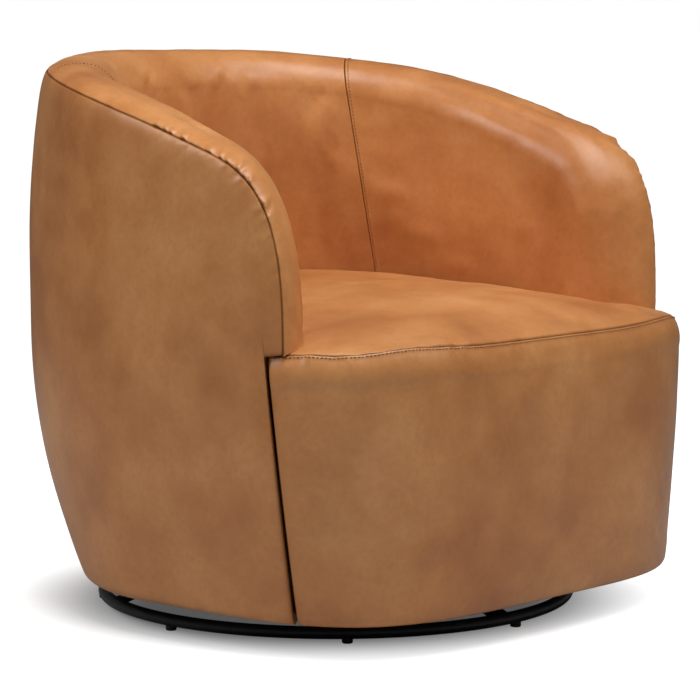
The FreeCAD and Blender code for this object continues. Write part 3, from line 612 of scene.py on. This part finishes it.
def stitches(name, line, outward, body):
    """A row of thread stitches along a line of points, each sunk at both ends."""
    run = lengths(line)
    sides, rings = STITCH_SIDES, len(STITCH_TAPER)
    bow = np.linspace(-STITCH_BOW, STITCH_BOW, rings)[:, None]
    lift = STITCH_RADIUS * (1.1 * np.cos(bow) - 0.35)
    thick = STITCH_RADIUS * np.array(STITCH_TAPER)[:, None]
    turns = 2 * np.pi * np.arange(sides)[:, None, None] / sides
    cosines, sines = np.cos(turns), np.sin(turns)
    one_stitch = tube_faces(sides, rings, True)
    points, faces = [], []
    for i in range(int(run[-1] / STITCH_PITCH)):
        spots = (i + 0.5) * STITCH_PITCH + np.linspace(-0.5, 0.5, rings) * STITCH_LENGTH
        centre, up = resample(line, run, spots), resample(outward, run, spots)
        ahead = np.gradient(centre, axis=0)
        ahead /= np.linalg.norm(ahead, axis=-1, keepdims=True)
        across = np.cross(ahead, up)
        points.append(centre + up * lift + (cosines * across + sines * up) * thick)
        faces += [tuple(i * sides * rings + corner for corner in face) for face in one_stitch]
    make_object(name, to_frame(points), faces, body, thread)


def inflate(grid, held, flip):
    """Blows up a closed pad, whose rows close on themselves, as cloth with its held points fixed."""
    mesh = bpy.data.meshes.new("cloth_sheet")
    faces = tube_faces(grid.shape[0], grid.shape[1], flip)
    mesh.from_pydata([tuple(p) for p in grid.reshape(-1, 3) * MM], [], faces)
    sheet = new_object("cloth_sheet", mesh)
    scene = bpy.context.scene
    group = sheet.vertex_groups.new(name="held")
    group.add(np.flatnonzero(held).tolist(), 1.0, "REPLACE")
    cloth = sheet.modifiers.new("cloth", "CLOTH")
    cloth.point_cache.frame_start, cloth.point_cache.frame_end = 1, CLOTH_FRAMES
    for name, value in CLOTH_SETTINGS.items():
        setattr(cloth.settings, name, value)
    cloth.settings.effector_weights.gravity = 0.0
    for number in range(1, CLOTH_FRAMES + 1):
        scene.frame_set(number)
    shaped = sheet.evaluated_get(bpy.context.evaluated_depsgraph_get())
    flat = np.empty(len(mesh.vertices) * 3)
    shaped.data.vertices.foreach_get("co", flat)
    scene.frame_set(1)
    bpy.data.objects.remove(sheet)
    bpy.data.meshes.remove(mesh)
    return flat.reshape(grid.shape) / MM


def eased(moved, from_edge, give):
    """Movement that slows as it nears the most that a pad gives, and sets in from its edge."""
    return give * onset(np.clip(moved, 0, None), give) * onset(np.clip(from_edge, 0, None), CLOTH_START)


def swelling(visible, hidden, from_edge, flip, give):
    """How far the filling lifts each point of a pad's cover, by cloth simulation."""
    down, along = lengths(visible).mean(1), lengths_across(visible).mean(0)
    rows, columns = even_picks(down, CLOTH_SPACING), even_picks(along, CLOTH_SPACING)
    coarse = np.ix_(rows, columns)
    sheet, edge, back = visible[coarse], from_edge[coarse], hidden[:, columns]
    held = np.concatenate([edge < CLOTH_HOLD, np.ones(back.shape[:2], bool)])
    after = inflate(np.concatenate([sheet, back]), held, flip)
    normals = grid_normals(sheet)
    outward = np.sign((normals * (sheet - back.mean(0))).sum())
    moved = ((after[:len(sheet)] - sheet) * normals).sum(-1) * outward
    return refine(eased(moved, edge, give), down[rows], down, along[columns], along)


def seam_line():
    """The rim seam from the ear of the seat round the arm corner to the middle of the back."""
    turns = np.linspace(0, 90, LINE_POINTS)
    azimuths, heights = corner_point(turns)
    spots = on_body(azimuths, heights)
    over = heights - crown(spots) - EAR_CLEAR
    front = np.interp(0, -over, turns)
    keep = turns < front
    behind = np.linspace(CORNER_AZIMUTH, 180, 800)[1:]
    foot = np.interp(front, turns, heights)
    azimuths = np.concatenate([[corner_point(front)[0]], azimuths[keep][::-1], behind])
    return np.stack([azimuths, np.concatenate([[foot], heights[keep][::-1], seam_height(behind)])], -1)


def panel_front(end):
    """The front edge of an outside panel: up beside the apron, then over the ear of the seat."""
    ear = on_body(APRON_TOP + GAP_CLEAR, SEAT_SEAM)
    heights = np.linspace(BODY_BOTTOM, crown(ear) + EAR_CLEAR, 300)
    beside = np.stack([gap_azimuth(heights) + GAP_CLEAR, heights], -1)
    azimuths = np.linspace(beside[-1, 0], end[0], 40)[1:]
    spots = on_body(azimuths, SEAT_SEAM)
    over = np.stack([azimuths, crown(spots) + EAR_CLEAR], -1)
    return np.concatenate([beside, over[:-1], end[None]])


def panel_patch():
    """Azimuths and heights over an outside panel, blended from its four edges."""
    seam = seam_line()
    run = lengths(on_body(seam[:, 0], seam[:, 1]))
    whole = run[-1]
    shares = graded(((4, FINE_GRID), (420, 2.4), (whole - 4, GRID), (whole, FINE_GRID))) / whole
    top = resample(seam, run / whole, shares)
    start = APRON_LOW + GAP_CLEAR
    foot = np.stack([start + (180 - start) * shares, np.full(len(shares), BODY_BOTTOM)], -1)
    tall = BACK_SEAM - BODY_BOTTOM
    rows = graded(((BOTTOM_ROUND, 1.5), (tall - 40, 6.5), (tall - 5, 2.5), (tall, FINE_GRID))) / tall
    edge = panel_front(top[0])
    edge_run = lengths(on_body(edge[:, 0], edge[:, 1]))
    front = resample(edge, edge_run / edge_run[-1], rows)
    back = np.stack([np.full(len(rows), 180.0), BODY_BOTTOM + tall * rows], -1)
    s, t = shares[None, :, None], rows[:, None, None]
    patch = (1 - t) * foot[None] + t * top[None] + (1 - s) * front[:, None] + s * back[:, None]
    patch -= (1 - s) * (1 - t) * foot[0] + s * (1 - t) * foot[-1] + (1 - s) * t * top[0] + s * t * top[-1]
    return patch[..., 0], patch[..., 1]


def outer_panel(name, side, seed):
    """One outside panel: a patch of the barrel between the seams, with its turned edges."""
    azimuth, height = panel_patch()
    flat = on_body(azimuth, height)
    from_foot = lengths(flat)
    from_seam = from_foot[-1] - from_foot
    from_front = lengths_across(flat)
    from_back = from_front[:, -1:] - from_front
    along = np.broadcast_to(lengths(flat[-1])[None], from_seam.shape)
    depth = rounding(from_seam, EDGE_ROUND) + rounding(from_back, EDGE_ROUND)
    depth += rounding(from_front, GAP_ROUND)
    depth = np.minimum(depth + rounding(from_foot, BOTTOM_ROUND), COVER)
    calm = onset(np.minimum(from_foot, from_front), 25)
    swell = 0.9 * waves(flat, 170, seed) * onset(from_seam, 40) * calm
    swell += 0.25 * waves(flat, 45, seed + 1) * fade(from_seam, 90)
    swell += folds(along, from_seam, seed + 2, 90, 400, 60, 0.75, 15, (2.6, 5.0))
    swell += folds(along, from_seam, seed + 3, 420, 1050, 26, 0.22, 12)
    swell += PANEL_PUFF * onset(from_seam, PUFF_START) * fade(from_seam, PUFF_REACH) * calm
    outer = on_body(azimuth, height, depth - swell * onset(from_foot, 20))
    inner_rows = [*range(0, len(height), 6), -1]
    inner = on_body(azimuth[inner_rows], height[inner_rows], COVER)
    inner[-1] = on_body(azimuth[-1], height[-1] - COVER * 0.5, COVER)
    # Painted shade along the rim seam and the back seam, and fainter beside the apron gap
    dark = seam_shade_share(from_seam, RIM_SHADE) + seam_shade_share(from_back, RIM_SHADE) + 0.6 * fade(from_front, GAP_SHADE)
    return closed_piece(name, outer[::-1], inner, dark[::-1], side, side < 0)


def pad_section(fan):
    """Rows of a pad from its rim seam over the roll, down its face and back behind it."""
    length, at = fan.length, fan.point
    shoulder = -ROLL_SHOULDER * onset(length, SHOULDER_FADE)
    seat_line = shoulder - FACE_SHARE * (length + shoulder)
    start = at(0, 0)
    crest = at(ROLL_RISE, ROLL_MIDDLE)
    turn = at(shoulder, WALL)
    contact = at(seat_line, WALL - PAD_SINK)
    inner = at(-length, WALL - PAD_SINK)
    outer = at(-length, WALL - PAD + 1)
    under = at(-RAIL_DROP + ROLL_GAP, WALL - PAD + 1)
    lip = at(-RAIL_DROP + ROLL_GAP, COVER + 1)
    mitre = at(-COVER, COVER)
    first = at(0.8 * ROLL_RISE, 0.4 * ROLL_MIDDLE)
    second = at((ROLL_RISE + shoulder) / 2 + SHOULDER_UP, (ROLL_MIDDLE + WALL) / 2 + SHOULDER_IN)
    belly = PAD_CROWN * np.minimum(1.0, length / (BACK_SEAM - ARM_FOOT)) ** 2
    third = at((shoulder + seat_line) / 2, WALL + belly)
    visible = np.concatenate([
        arc(start, first, crest, dense_start(SEAM_LENGTH)),
        arc(crest, second, turn, steps(ROLL_ROWS)),
        arc(turn, third, contact, steps(FACE_ROWS)),
        straight(contact, inner, steps(SEAT_ROWS))])
    hidden = np.concatenate([
        straight(inner, outer, (0.5, 1.0)),
        straight(outer, under, (0.3, 0.65, 1.0)),
        straight(under, lip, (1.0,)),
        straight(lip, mitre, (1.0,))])
    return visible, hidden


def raised(visible, proud):
    """A cover lifted off its grid, away from the inside of the wall, and its directions."""
    normals = grid_normals(visible)
    middle = visible.reshape(-1, 3).mean(0)
    heart = polar(WALL_HEART, azimuth_of(middle), middle[2])
    if (normals * (visible - heart)).sum() < 0:
        normals = -normals
    return visible + normals * proud[..., None], normals


def keep_off_ears(points):
    """A copy in which what would reach into the ears of the seat lies on their top."""
    points = points.copy()
    reach = gap_azimuth(points[..., 2]) + GAP_CLEAR - np.abs(azimuth_of(points))
    ahead = np.clip(reach / 1.5, 0, 1)
    seat = crown(points) + EAR_CLEAR
    lifted = np.maximum(points[..., 2], points[..., 2] + (seat - points[..., 2]) * ahead)
    points[..., 2] = np.where(points[..., 2] < NOTCH + 20, lifted, points[..., 2])
    return points


def seam_half_angle():
    return np.degrees(PANEL_SEAM_HALF / outline_radius(PANEL_SEAM_AZIMUTH, BACK_SEAM))


def leaning_stations(azimuth, share):
    """Azimuths of a leaning section at its foot and at the rim."""
    height = seam_height(azimuth)
    radius = outline_radius(azimuth, (height + ARM_FOOT) / 2)
    lean = np.degrees(PANEL_SEAM_LEAN * share * (height - ARM_FOOT) / radius) / 2
    return azimuth - lean, azimuth + lean


class Pad:
    """An inside pad: its rows of points, and how far each is from its seams and the seat."""

    def __init__(self, lines, stretches, two_seams):
        """From its feet's azimuths, its rim's azimuths and its rim's heights."""
        run = lengths(on_body(*lines[1:]))
        self.whole = run[-1]
        spots = graded([(end if end > 0 else self.whole + end, spacing) for end, spacing in stretches])
        foot_az, rim_az, rim_h = resample(lines.T, run, spots).T
        fan = Fan((foot_az, np.full(len(spots), ARM_FOOT)), (rim_az, rim_h))
        self.visible, self.hidden = pad_section(fan)
        self.from_seam = lengths(self.visible)
        self.from_panel = from_ends(self.visible) if two_seams else lengths_across(self.visible)
        self.over_seat = self.visible[..., 2] - crown(self.visible)
        self.along = np.broadcast_to(spots[None], self.from_seam.shape)

    def fullness(self, swell, seed):
        """How proud the cover stands: its filling, its turned edges and slow swells."""
        edge = np.minimum.reduce([self.from_seam, self.from_panel, self.over_seat])
        proud = swelling(self.visible, self.hidden, edge, False, PAD_GIVE)
        proud -= rounding(self.from_seam, EDGE_ROUND) + rounding(self.from_panel, PANEL_ROUND)
        calm = onset(np.minimum(self.from_seam, self.from_panel), 45)
        proud += swell * waves(self.visible, 130, seed) * calm
        return proud + 0.22 * waves(self.visible, 38, seed + 1)

    def finish(self, name, proud, side):
        """Makes the piece, and gives the shaped points and their normals."""
        shaped, normals = raised(self.visible, proud)
        # Painted shade along the rim seam, and fainter along the panel seams
        dark = seam_shade_share(self.from_seam, RIM_SHADE) + 0.55 * seam_shade_share(self.from_panel, PANEL_SHADE)
        piece = closed_piece(name, keep_off_ears(shaped), keep_off_ears(self.hidden), dark, side, side < 0)
        return piece, shaped, normals


def arm_cushion(name, side, seed):
    """The inside of one arm with its roll, from the leaning seam round the arm front."""
    start = PANEL_SEAM_AZIMUTH - seam_half_angle()
    wall = np.linspace(start, CORNER_AZIMUTH, 1200)
    share = np.interp(start - wall, *LEAN_FADE)
    share = np.convolve(np.pad(share, 60, mode="edge"), np.ones(121) / 121, mode="valid")
    foot_az, rim_az = leaning_stations(wall, share)
    turns = np.linspace(0, 90, LINE_POINTS)[1:]
    corner_foot = CORNER_AZIMUTH - (CORNER_AZIMUTH - PAD_FOOT_AZIMUTH) * turns / 90
    corner = corner_foot, *corner_point(turns)
    lines = np.concatenate([(foot_az, rim_az, seam_height(rim_az)), corner], 1)
    pad = Pad(lines, ((6, FINE_GRID), (-480, GRID), (-170, 1.7), (0, 2.6)), False)
    front = pad.whole
    proud = pad.fullness(1.1, seed) + fold_strip(pad.from_panel)
    along, from_seam = pad.along, pad.from_seam
    proud += folds(along, from_seam, seed + 2, front - 440, front - 200, 80, 2.1, 14, (2.2, 4.6))
    proud += folds(along, from_seam, seed + 3, 20, front - 420, 40, 0.4, 20)
    proud += folds(along, from_seam, seed + 4, front - 210, front - 30, 26, 0.5, 12)
    proud += folds(from_seam, pad.from_panel, seed + 5, 60, 330, 16, 0.3, 12)
    piece, shaped, normals = pad.finish(name, proud, side)
    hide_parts(name.split("_")[0] + "_arm_pad")
    beside = int(np.argmin(np.abs(pad.from_panel.mean(0) - STITCH_OFFSET)))
    shown = slice(4, int((pad.over_seat[:, beside] > 6).sum()))
    mirror = np.array([side, 1, 1])
    stitches(name.split("_")[0] + "_arm_stitches", shaped[shown, beside] * mirror,
             normals[shown, beside] * mirror, "chair")


def back_cushion(seed):
    """The inside back between the two leaning seams."""
    reach = 180 - PANEL_SEAM_AZIMUTH - seam_half_angle()
    share = np.linspace(-1, 1, 1201)
    stations = np.array(leaning_stations(180 - reach * np.abs(share), np.abs(share)))
    foot_az, rim_az = np.where(share > 0, 360 - stations, stations)
    lines = np.stack([foot_az, rim_az, seam_height(stations[1])])
    pad = Pad(lines, ((6, FINE_GRID), (-6, GRID), (0, FINE_GRID)), True)
    proud = pad.fullness(1.2, seed)
    proud += folds(pad.along, pad.from_seam, seed + 2, 10, pad.whole - 10, 60, 0.45, 22)
    proud += folds(pad.from_seam, pad.from_panel, seed + 5, 50, 330, 18, 0.3, 13)
    piece = pad.finish("back_cushion", proud, 1)[0]
    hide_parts("back_pad")


def seat_edge():
    """The plan of the seat: its front seam, its two ears and the line inside the wall."""
    ear = APRON_LOW + EAR_SHARE * (APRON_TOP - APRON_LOW)
    front = on_body(np.linspace(-ear, ear, 900), SEAT_SEAM, APRON_TUCK)
    back = on_body(np.linspace(ear, 360 - ear, LINE_POINTS), SEAT_LOW, SEAT_INSIDE)
    between = np.linspace(0, 1, 60)[1:-1]
    line = np.concatenate([front, straight(front[-1:], back[:1], between)[:, 0], back,
                           straight(back[-1:], front[:1], between)[:, 0], front[:1]])[:, :2]
    run = lengths(line)
    spots = np.linspace(0, run[-1], int(run[-1] / EDGE_PITCH), endpoint=False)
    return resample(line, run, spots), lengths(front)[-1], spots


def bearings(spots):
    """Angle of each spot about the centre of the seat, and its distance from there."""
    across, along = (spots - SEAT_CENTRE).T
    return np.arctan2(along, across), np.linalg.norm(spots - SEAT_CENTRE, axis=-1)


def seat_swelling(plan, edge):
    """How far the filling lifts each spot of the seat, simulated on rings and spokes."""
    turns, spans = bearings(edge)
    order = np.argsort(turns)
    spokes = np.linspace(-np.pi, np.pi, SPOKES, endpoint=False)
    reach = np.interp(spokes, turns[order], spans[order], period=2 * np.pi)
    radius = reach[:, None] * np.linspace(FIRST_RING, 1, RINGS)
    x, y = radius * np.cos(spokes)[:, None], SEAT_CENTRE[1] + radius * np.sin(spokes)[:, None]
    spots = np.stack([x, y], -1)
    top = np.concatenate([spots, crown(spots)[..., None]], -1)
    low = top[:, -1:] * (1, 1, 0) + (0, 0, SEAT_LOW)
    azimuth = np.abs(azimuth_of(spots))
    inside = outline_radius(azimuth, SEAT_SEAM) - np.hypot(x, y) - WALL - 4
    free = np.minimum(reach[:, None] - radius, np.where(azimuth > WALL_AZIMUTH, inside, NO_WALL))
    held = np.concatenate([free < CLOTH_HOLD, np.ones((SPOKES, 1), bool)], 1)
    after = inflate(np.concatenate([top, low], 1), held, False)[:, :-1]
    moved = eased(after[..., 2] - top[..., 2], free, SEAT_GIVE)
    fine_turns, fine_rings = SPOKE_SPLIT * SPOKES, RING_SPLIT * RINGS
    wrapped = np.concatenate([moved[-SPOKE_WRAP:], moved, moved[:SPOKE_WRAP]])
    keys = np.arange(-SPOKE_WRAP, SPOKES + SPOKE_WRAP)
    fine = refine(wrapped, keys, np.linspace(0, SPOKES, fine_turns + 1),
                  np.arange(RINGS), np.linspace(0, RINGS - 1, fine_rings + 1))
    turn, distance = bearings(plan)
    turn = (turn + np.pi) / (2 * np.pi) * fine_turns
    limit = np.interp(turn / SPOKE_SPLIT, np.arange(SPOKES + 1), np.append(reach, reach[0]))
    ring = (distance / limit - FIRST_RING) / (1 - FIRST_RING) * fine_rings
    turn, ring = np.clip(turn, 0, fine_turns - 1e-6), np.clip(ring, 0, fine_rings - 1e-6)
    i, j = turn.astype(int), ring.astype(int)
    u, v = turn - i, ring - j
    return (fine[i, j] * (1 - u) * (1 - v) + fine[i + 1, j] * u * (1 - v)
            + fine[i, j + 1] * (1 - u) * v + fine[i + 1, j + 1] * u * v)


def distances(points, line):
    """From each of the points to each point of a line."""
    return np.sqrt(((points[:, None] - line[None]) ** 2).sum(-1))


def seat_plan(edge):
    """Even triangles over the plan of the seat, with rings of points inside its edge."""
    ahead = np.roll(edge, -1, 0) - np.roll(edge, 1, 0)
    normal = np.stack([-ahead[:, 1], ahead[:, 0]], -1) / np.linalg.norm(ahead, axis=-1, keepdims=True)
    rings = []
    for distance in SEAT_INSETS:
        moved = edge + normal * distance
        rings.append(moved[distances(moved, edge[::2]).min(1) > 0.93 * distance])
    after = np.roll(edge, -1, 0)
    inside = []
    for row, y in enumerate(np.arange(-400, 330, SEAT_PITCH * 0.866)):
        xs = np.arange(-380, 380, SEAT_PITCH) + (row % 2) * SEAT_PITCH / 2
        hit = (edge[:, 1] > y) != (after[:, 1] > y)
        one, two = edge[hit], after[hit]
        crossings = one[:, 0] + (y - one[:, 1]) / (two[:, 1] - one[:, 1]) * (two[:, 0] - one[:, 0])
        within = (crossings[None, :] < xs[:, None]).sum(1) % 2 == 1
        inside += [(x, y) for x in xs[within]]
    inside = np.array(inside)
    inside = inside[distances(inside, edge[::2]).min(1) > SEAT_MARGIN]
    flat = np.concatenate([edge] + rings + [inside])
    loop = [(i, (i + 1) % len(edge)) for i in range(len(edge))]
    made = delaunay_2d_cdt([Vector(p) for p in flat], loop, [], 1, 1e-4)
    return np.array([tuple(v) for v in made[0]]), [tuple(f) for f in made[2]]


def seat_cushion(seed):
    """The crowned seat on a mesh of even triangles, with its turned edge."""
    edge, front_length, spots = seat_edge()
    plan, faces = seat_plan(edge)
    gaps = distances(plan, edge)
    away, place = gaps.min(1), spots[gaps.argmin(1)]
    at_front = place <= front_length
    points = np.column_stack([plan, crown(plan)])
    proud = seat_swelling(plan, edge) - rounding(away, SEAT_ROUND) * at_front
    proud -= rounding(away, SEAT_BACK_ROUND) * ~at_front
    proud += (1.5 * waves(points, 190, seed) + 0.5 * waves(points, 70, seed + 1)) * onset(away, 40)
    band = np.where(at_front, away, 999.0)
    middle = front_length * 0.42
    proud += folds(place, band, seed + 2, 10, middle, 44, 1.0, 26, (4.5, 9.0))
    proud += folds(place, band, seed + 3, middle, front_length - 10, 34, 0.3, 14)
    points[:, 2] += proud
    rim = gaps.argmin(0).tolist()
    heights = [np.maximum(points[rim, 2] - drop, SEAT_LOW + 1) for drop in SEAT_DROPS]
    verts, levels = points, [rim]
    for height in heights + [np.full(len(rim), SEAT_LOW)]:
        levels.append(list(range(len(verts), len(verts) + len(rim))))
        verts = np.concatenate([verts, np.column_stack([plan[rim], height])])
    for upper, lower in zip(levels, levels[1:]):
        for i in range(len(rim)):
            j = (i + 1) % len(rim)
            faces.append((upper[j], upper[i], lower[i], lower[j]))
    faces.append(tuple(levels[-1][::-1]))
    piece = make_object("seat_cushion", to_frame(verts), faces, "chair", leather)
    # Painted shade along the seat's edge, and full painted shade on its hidden sides
    dark = seam_shade_share(away, SEAT_SHADE)
    set_painted_shade(piece, np.concatenate([dark, np.ones(len(verts) - len(dark))]))
    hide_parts("seat_pad")


def apron_cushion(seed):
    """The padded front under the seat seam."""
    low = np.linspace(-1, 1, 1200)
    seam = crown(on_body(low * APRON_TOP, SEAT_SEAM, APRON_TUCK)) - 0.6
    run = lengths(on_body(low * APRON_TOP, SEAT_SEAM))
    whole, middle = run[-1], run[-1] * 0.42
    spots = graded(((4, FINE_GRID), (0.45 * whole, 1.8), (whole - 4, GRID), (whole, FINE_GRID)))
    share, seam = np.interp(spots, run, low), np.interp(spots, run, seam)
    fan = Fan((share * APRON_LOW, np.full(len(spots), BODY_BOTTOM)), (share * APRON_TOP, seam))
    reach, at = fan.length, fan.point
    toe = at(-reach, BOTTOM_ROUND)
    turn = at(0.29 * BOTTOM_ROUND - reach, 0.29 * BOTTOM_ROUND)
    bottom = at(BOTTOM_ROUND - reach, 0)
    high = at(-APRON_ROUND, 0)
    belly = at(-(APRON_ROUND + reach - BOTTOM_ROUND) / 2, 0)
    shoulder = at(-0.35 * APRON_ROUND, 0.22 * APRON_TUCK)
    top = at(0, APRON_TUCK)
    inner = at(-40, APRON_DEPTH)
    foot = at(-reach, APRON_DEPTH)
    visible = np.concatenate([
        arc(top, shoulder, high, dense_start(44)),
        arc(high, belly, bottom, steps(62)),
        arc(bottom, turn, toe, steps(8))])
    hidden = np.concatenate([straight(toe, foot, (0.5, 1.0)), straight(foot, inner, (0.5, 1.0)),
                             straight(inner, top, (0.5,))])
    from_seam = lengths(visible)
    from_foot = from_seam[-1:] - from_seam
    from_gap = from_ends(visible)
    along = np.broadcast_to(spots[None], from_seam.shape)
    edge = np.minimum.reduce([from_seam, from_gap, from_foot])
    proud = swelling(visible, hidden, edge, True, APRON_GIVE) + fold_strip(from_seam)
    proud -= rounding(from_seam, EDGE_ROUND) + rounding(from_gap, GAP_ROUND)
    calm = onset(np.minimum(from_seam, from_gap), 40) * onset(from_foot, 30)
    proud += (1.0 * waves(visible, 180, seed) + 0.3 * waves(visible, 60, seed + 1)) * calm
    proud += folds(along, from_seam, seed + 2, 10, middle, 62, 1.25, 16, (2.6, 5.5))
    proud += folds(along, from_seam, seed + 3, middle, whole - 10, 34, 0.3, 12)
    shaped, normals = raised(visible, proud)
    # Painted shade along the seat seam, and fainter beside the gaps at its ends
    dark = seam_shade_share(from_seam, RIM_SHADE) + 0.6 * fade(from_gap, GAP_SHADE)
    piece = closed_piece("apron_cushion", shaped, hidden, dark, 1, True)
    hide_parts("front_apron")
    row = int(np.argmin(np.abs(from_seam.mean(1) - STITCH_OFFSET)))
    stitches("apron_stitches", shaped[row, 8:-8], normals[row, 8:-8], "chair")


for place, side, panel_seed, arm_seed in (("right", 1, 11, 51), ("left", -1, 31, 71)):
    panel = outer_panel(place + "_outer_panel", side, panel_seed)
    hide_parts(place + "_outer_cover")
    arm_cushion(place + "_arm_cushion", side, arm_seed)
back_cushion(91)
seat_cushion(111)
apron_cushion(131)


def stage_material():
    """A white floor that glows to the camera; the glow fades round the chair into a painted shadow, which
    adds to the shadow the chair casts.
    """
    look = Look("studio_floor")
    look.shade("Base Color", (FLOOR_TONE, FLOOR_TONE, FLOOR_TONE, 1))
    look.shade("Roughness", 0.9)
    look.shade("Specular IOR Level", 0.0)
    look.shade("Emission Color", (*WHITE, 1))
    far = look.node("VectorMath", {0: look.place})
    far.operation = "LENGTH"
    # The glow fades near the chair: a painted shadow round its foot
    glow = look.node("MapRange", {**FLOOR_GLOW_AND_PAINTED_SHADE, "Value": far.outputs["Value"]})
    glow.interpolation_type = "SMOOTHSTEP"
    seen = look.node("LightPath", {}).outputs["Is Camera Ray"]
    scale = look.node("Math", {0: seen, 1: glow.outputs["Result"]})
    scale.operation = "MULTIPLY"
    look.shade("Emission Strength", scale.outputs["Value"])
    return look.material


def studio():
    """The floor, and a world that is white to the camera and gives dim even light."""
    mesh = bpy.data.meshes.new("studio_floor")
    corners = [(x * FLOOR_REACH, y * FLOOR_REACH, 0) for x, y in ((-1, -1), (1, -1), (1, 1), (-1, 1))]
    mesh.from_pydata(corners, [], [(0, 1, 2, 3)])
    mesh.materials.append(stage_material())
    floor = new_object("studio_floor", mesh)
    world = bpy.data.worlds.new("studio")
    bpy.context.scene.world = world
    world.use_nodes = True
    nodes, links = world.node_tree.nodes, world.node_tree.links
    nodes.clear()
    out = nodes.new("ShaderNodeOutputWorld")
    seen = nodes.new("ShaderNodeLightPath")
    choose = nodes.new("ShaderNodeMixShader")
    links.new(seen.outputs["Is Camera Ray"], choose.inputs["Fac"])
    for place, strength in ((1, WORLD_LIGHT), (2, 1.0)):
        light = nodes.new("ShaderNodeBackground")
        light.inputs["Color"].default_value = (*WHITE, 1)
        light.inputs["Strength"].default_value = strength
        links.new(light.outputs["Background"], choose.inputs[place])
    links.new(choose.outputs["Shader"], out.inputs["Surface"])


def lamp(name, position, target, size, energy):
    light = bpy.data.lights.new(name, "AREA")
    light.shape = "RECTANGLE"
    light.size, light.size_y = size
    light.energy = energy
    holder = new_object(name, light)
    holder.location = position
    holder.rotation_mode = "QUATERNION"
    holder.rotation_quaternion = (Vector(target) - Vector(position)).to_track_quat("-Z", "Y")


def photo_camera():
    """The camera of the photograph, fitted to the outline of the chair."""
    data = bpy.data.cameras.new("photo_camera")
    data.sensor_width = SENSOR
    data.lens = FOCAL_PIXELS / PHOTO_PIXELS * SENSOR
    data.clip_end = FAR_CLIP
    camera = new_object("photo_camera", data)
    turn, pitch = math.radians(CAMERA_TURN), math.radians(CAMERA_PITCH)
    ahead = Vector((-math.sin(turn) * math.cos(pitch), math.cos(turn) * math.cos(pitch), -math.sin(pitch)))
    right = Vector((math.cos(turn), math.sin(turn), 0))
    axes = Matrix((right, right.cross(ahead), -ahead)).transposed().to_4x4()
    camera.matrix_world = Matrix.Translation(CAMERA_SPOT) @ axes
    bpy.context.scene.camera = camera


studio()
lamp("top_softbox", (-0.3, -0.9, 2.7), (0, 0, 0.4), (1.7, 1.7), 54)
lamp("front_softbox", (1.0, -2.2, 2.6), (0, 0, 0.5), (1.4, 1.4), 12)
lamp("left_softbox", (-2.4, 1.4, 2.4), (0, 0, 0.4), (1.4, 1.4), 34)
photo_camera()
bpy.context.scene.view_settings.view_transform = "Standard"
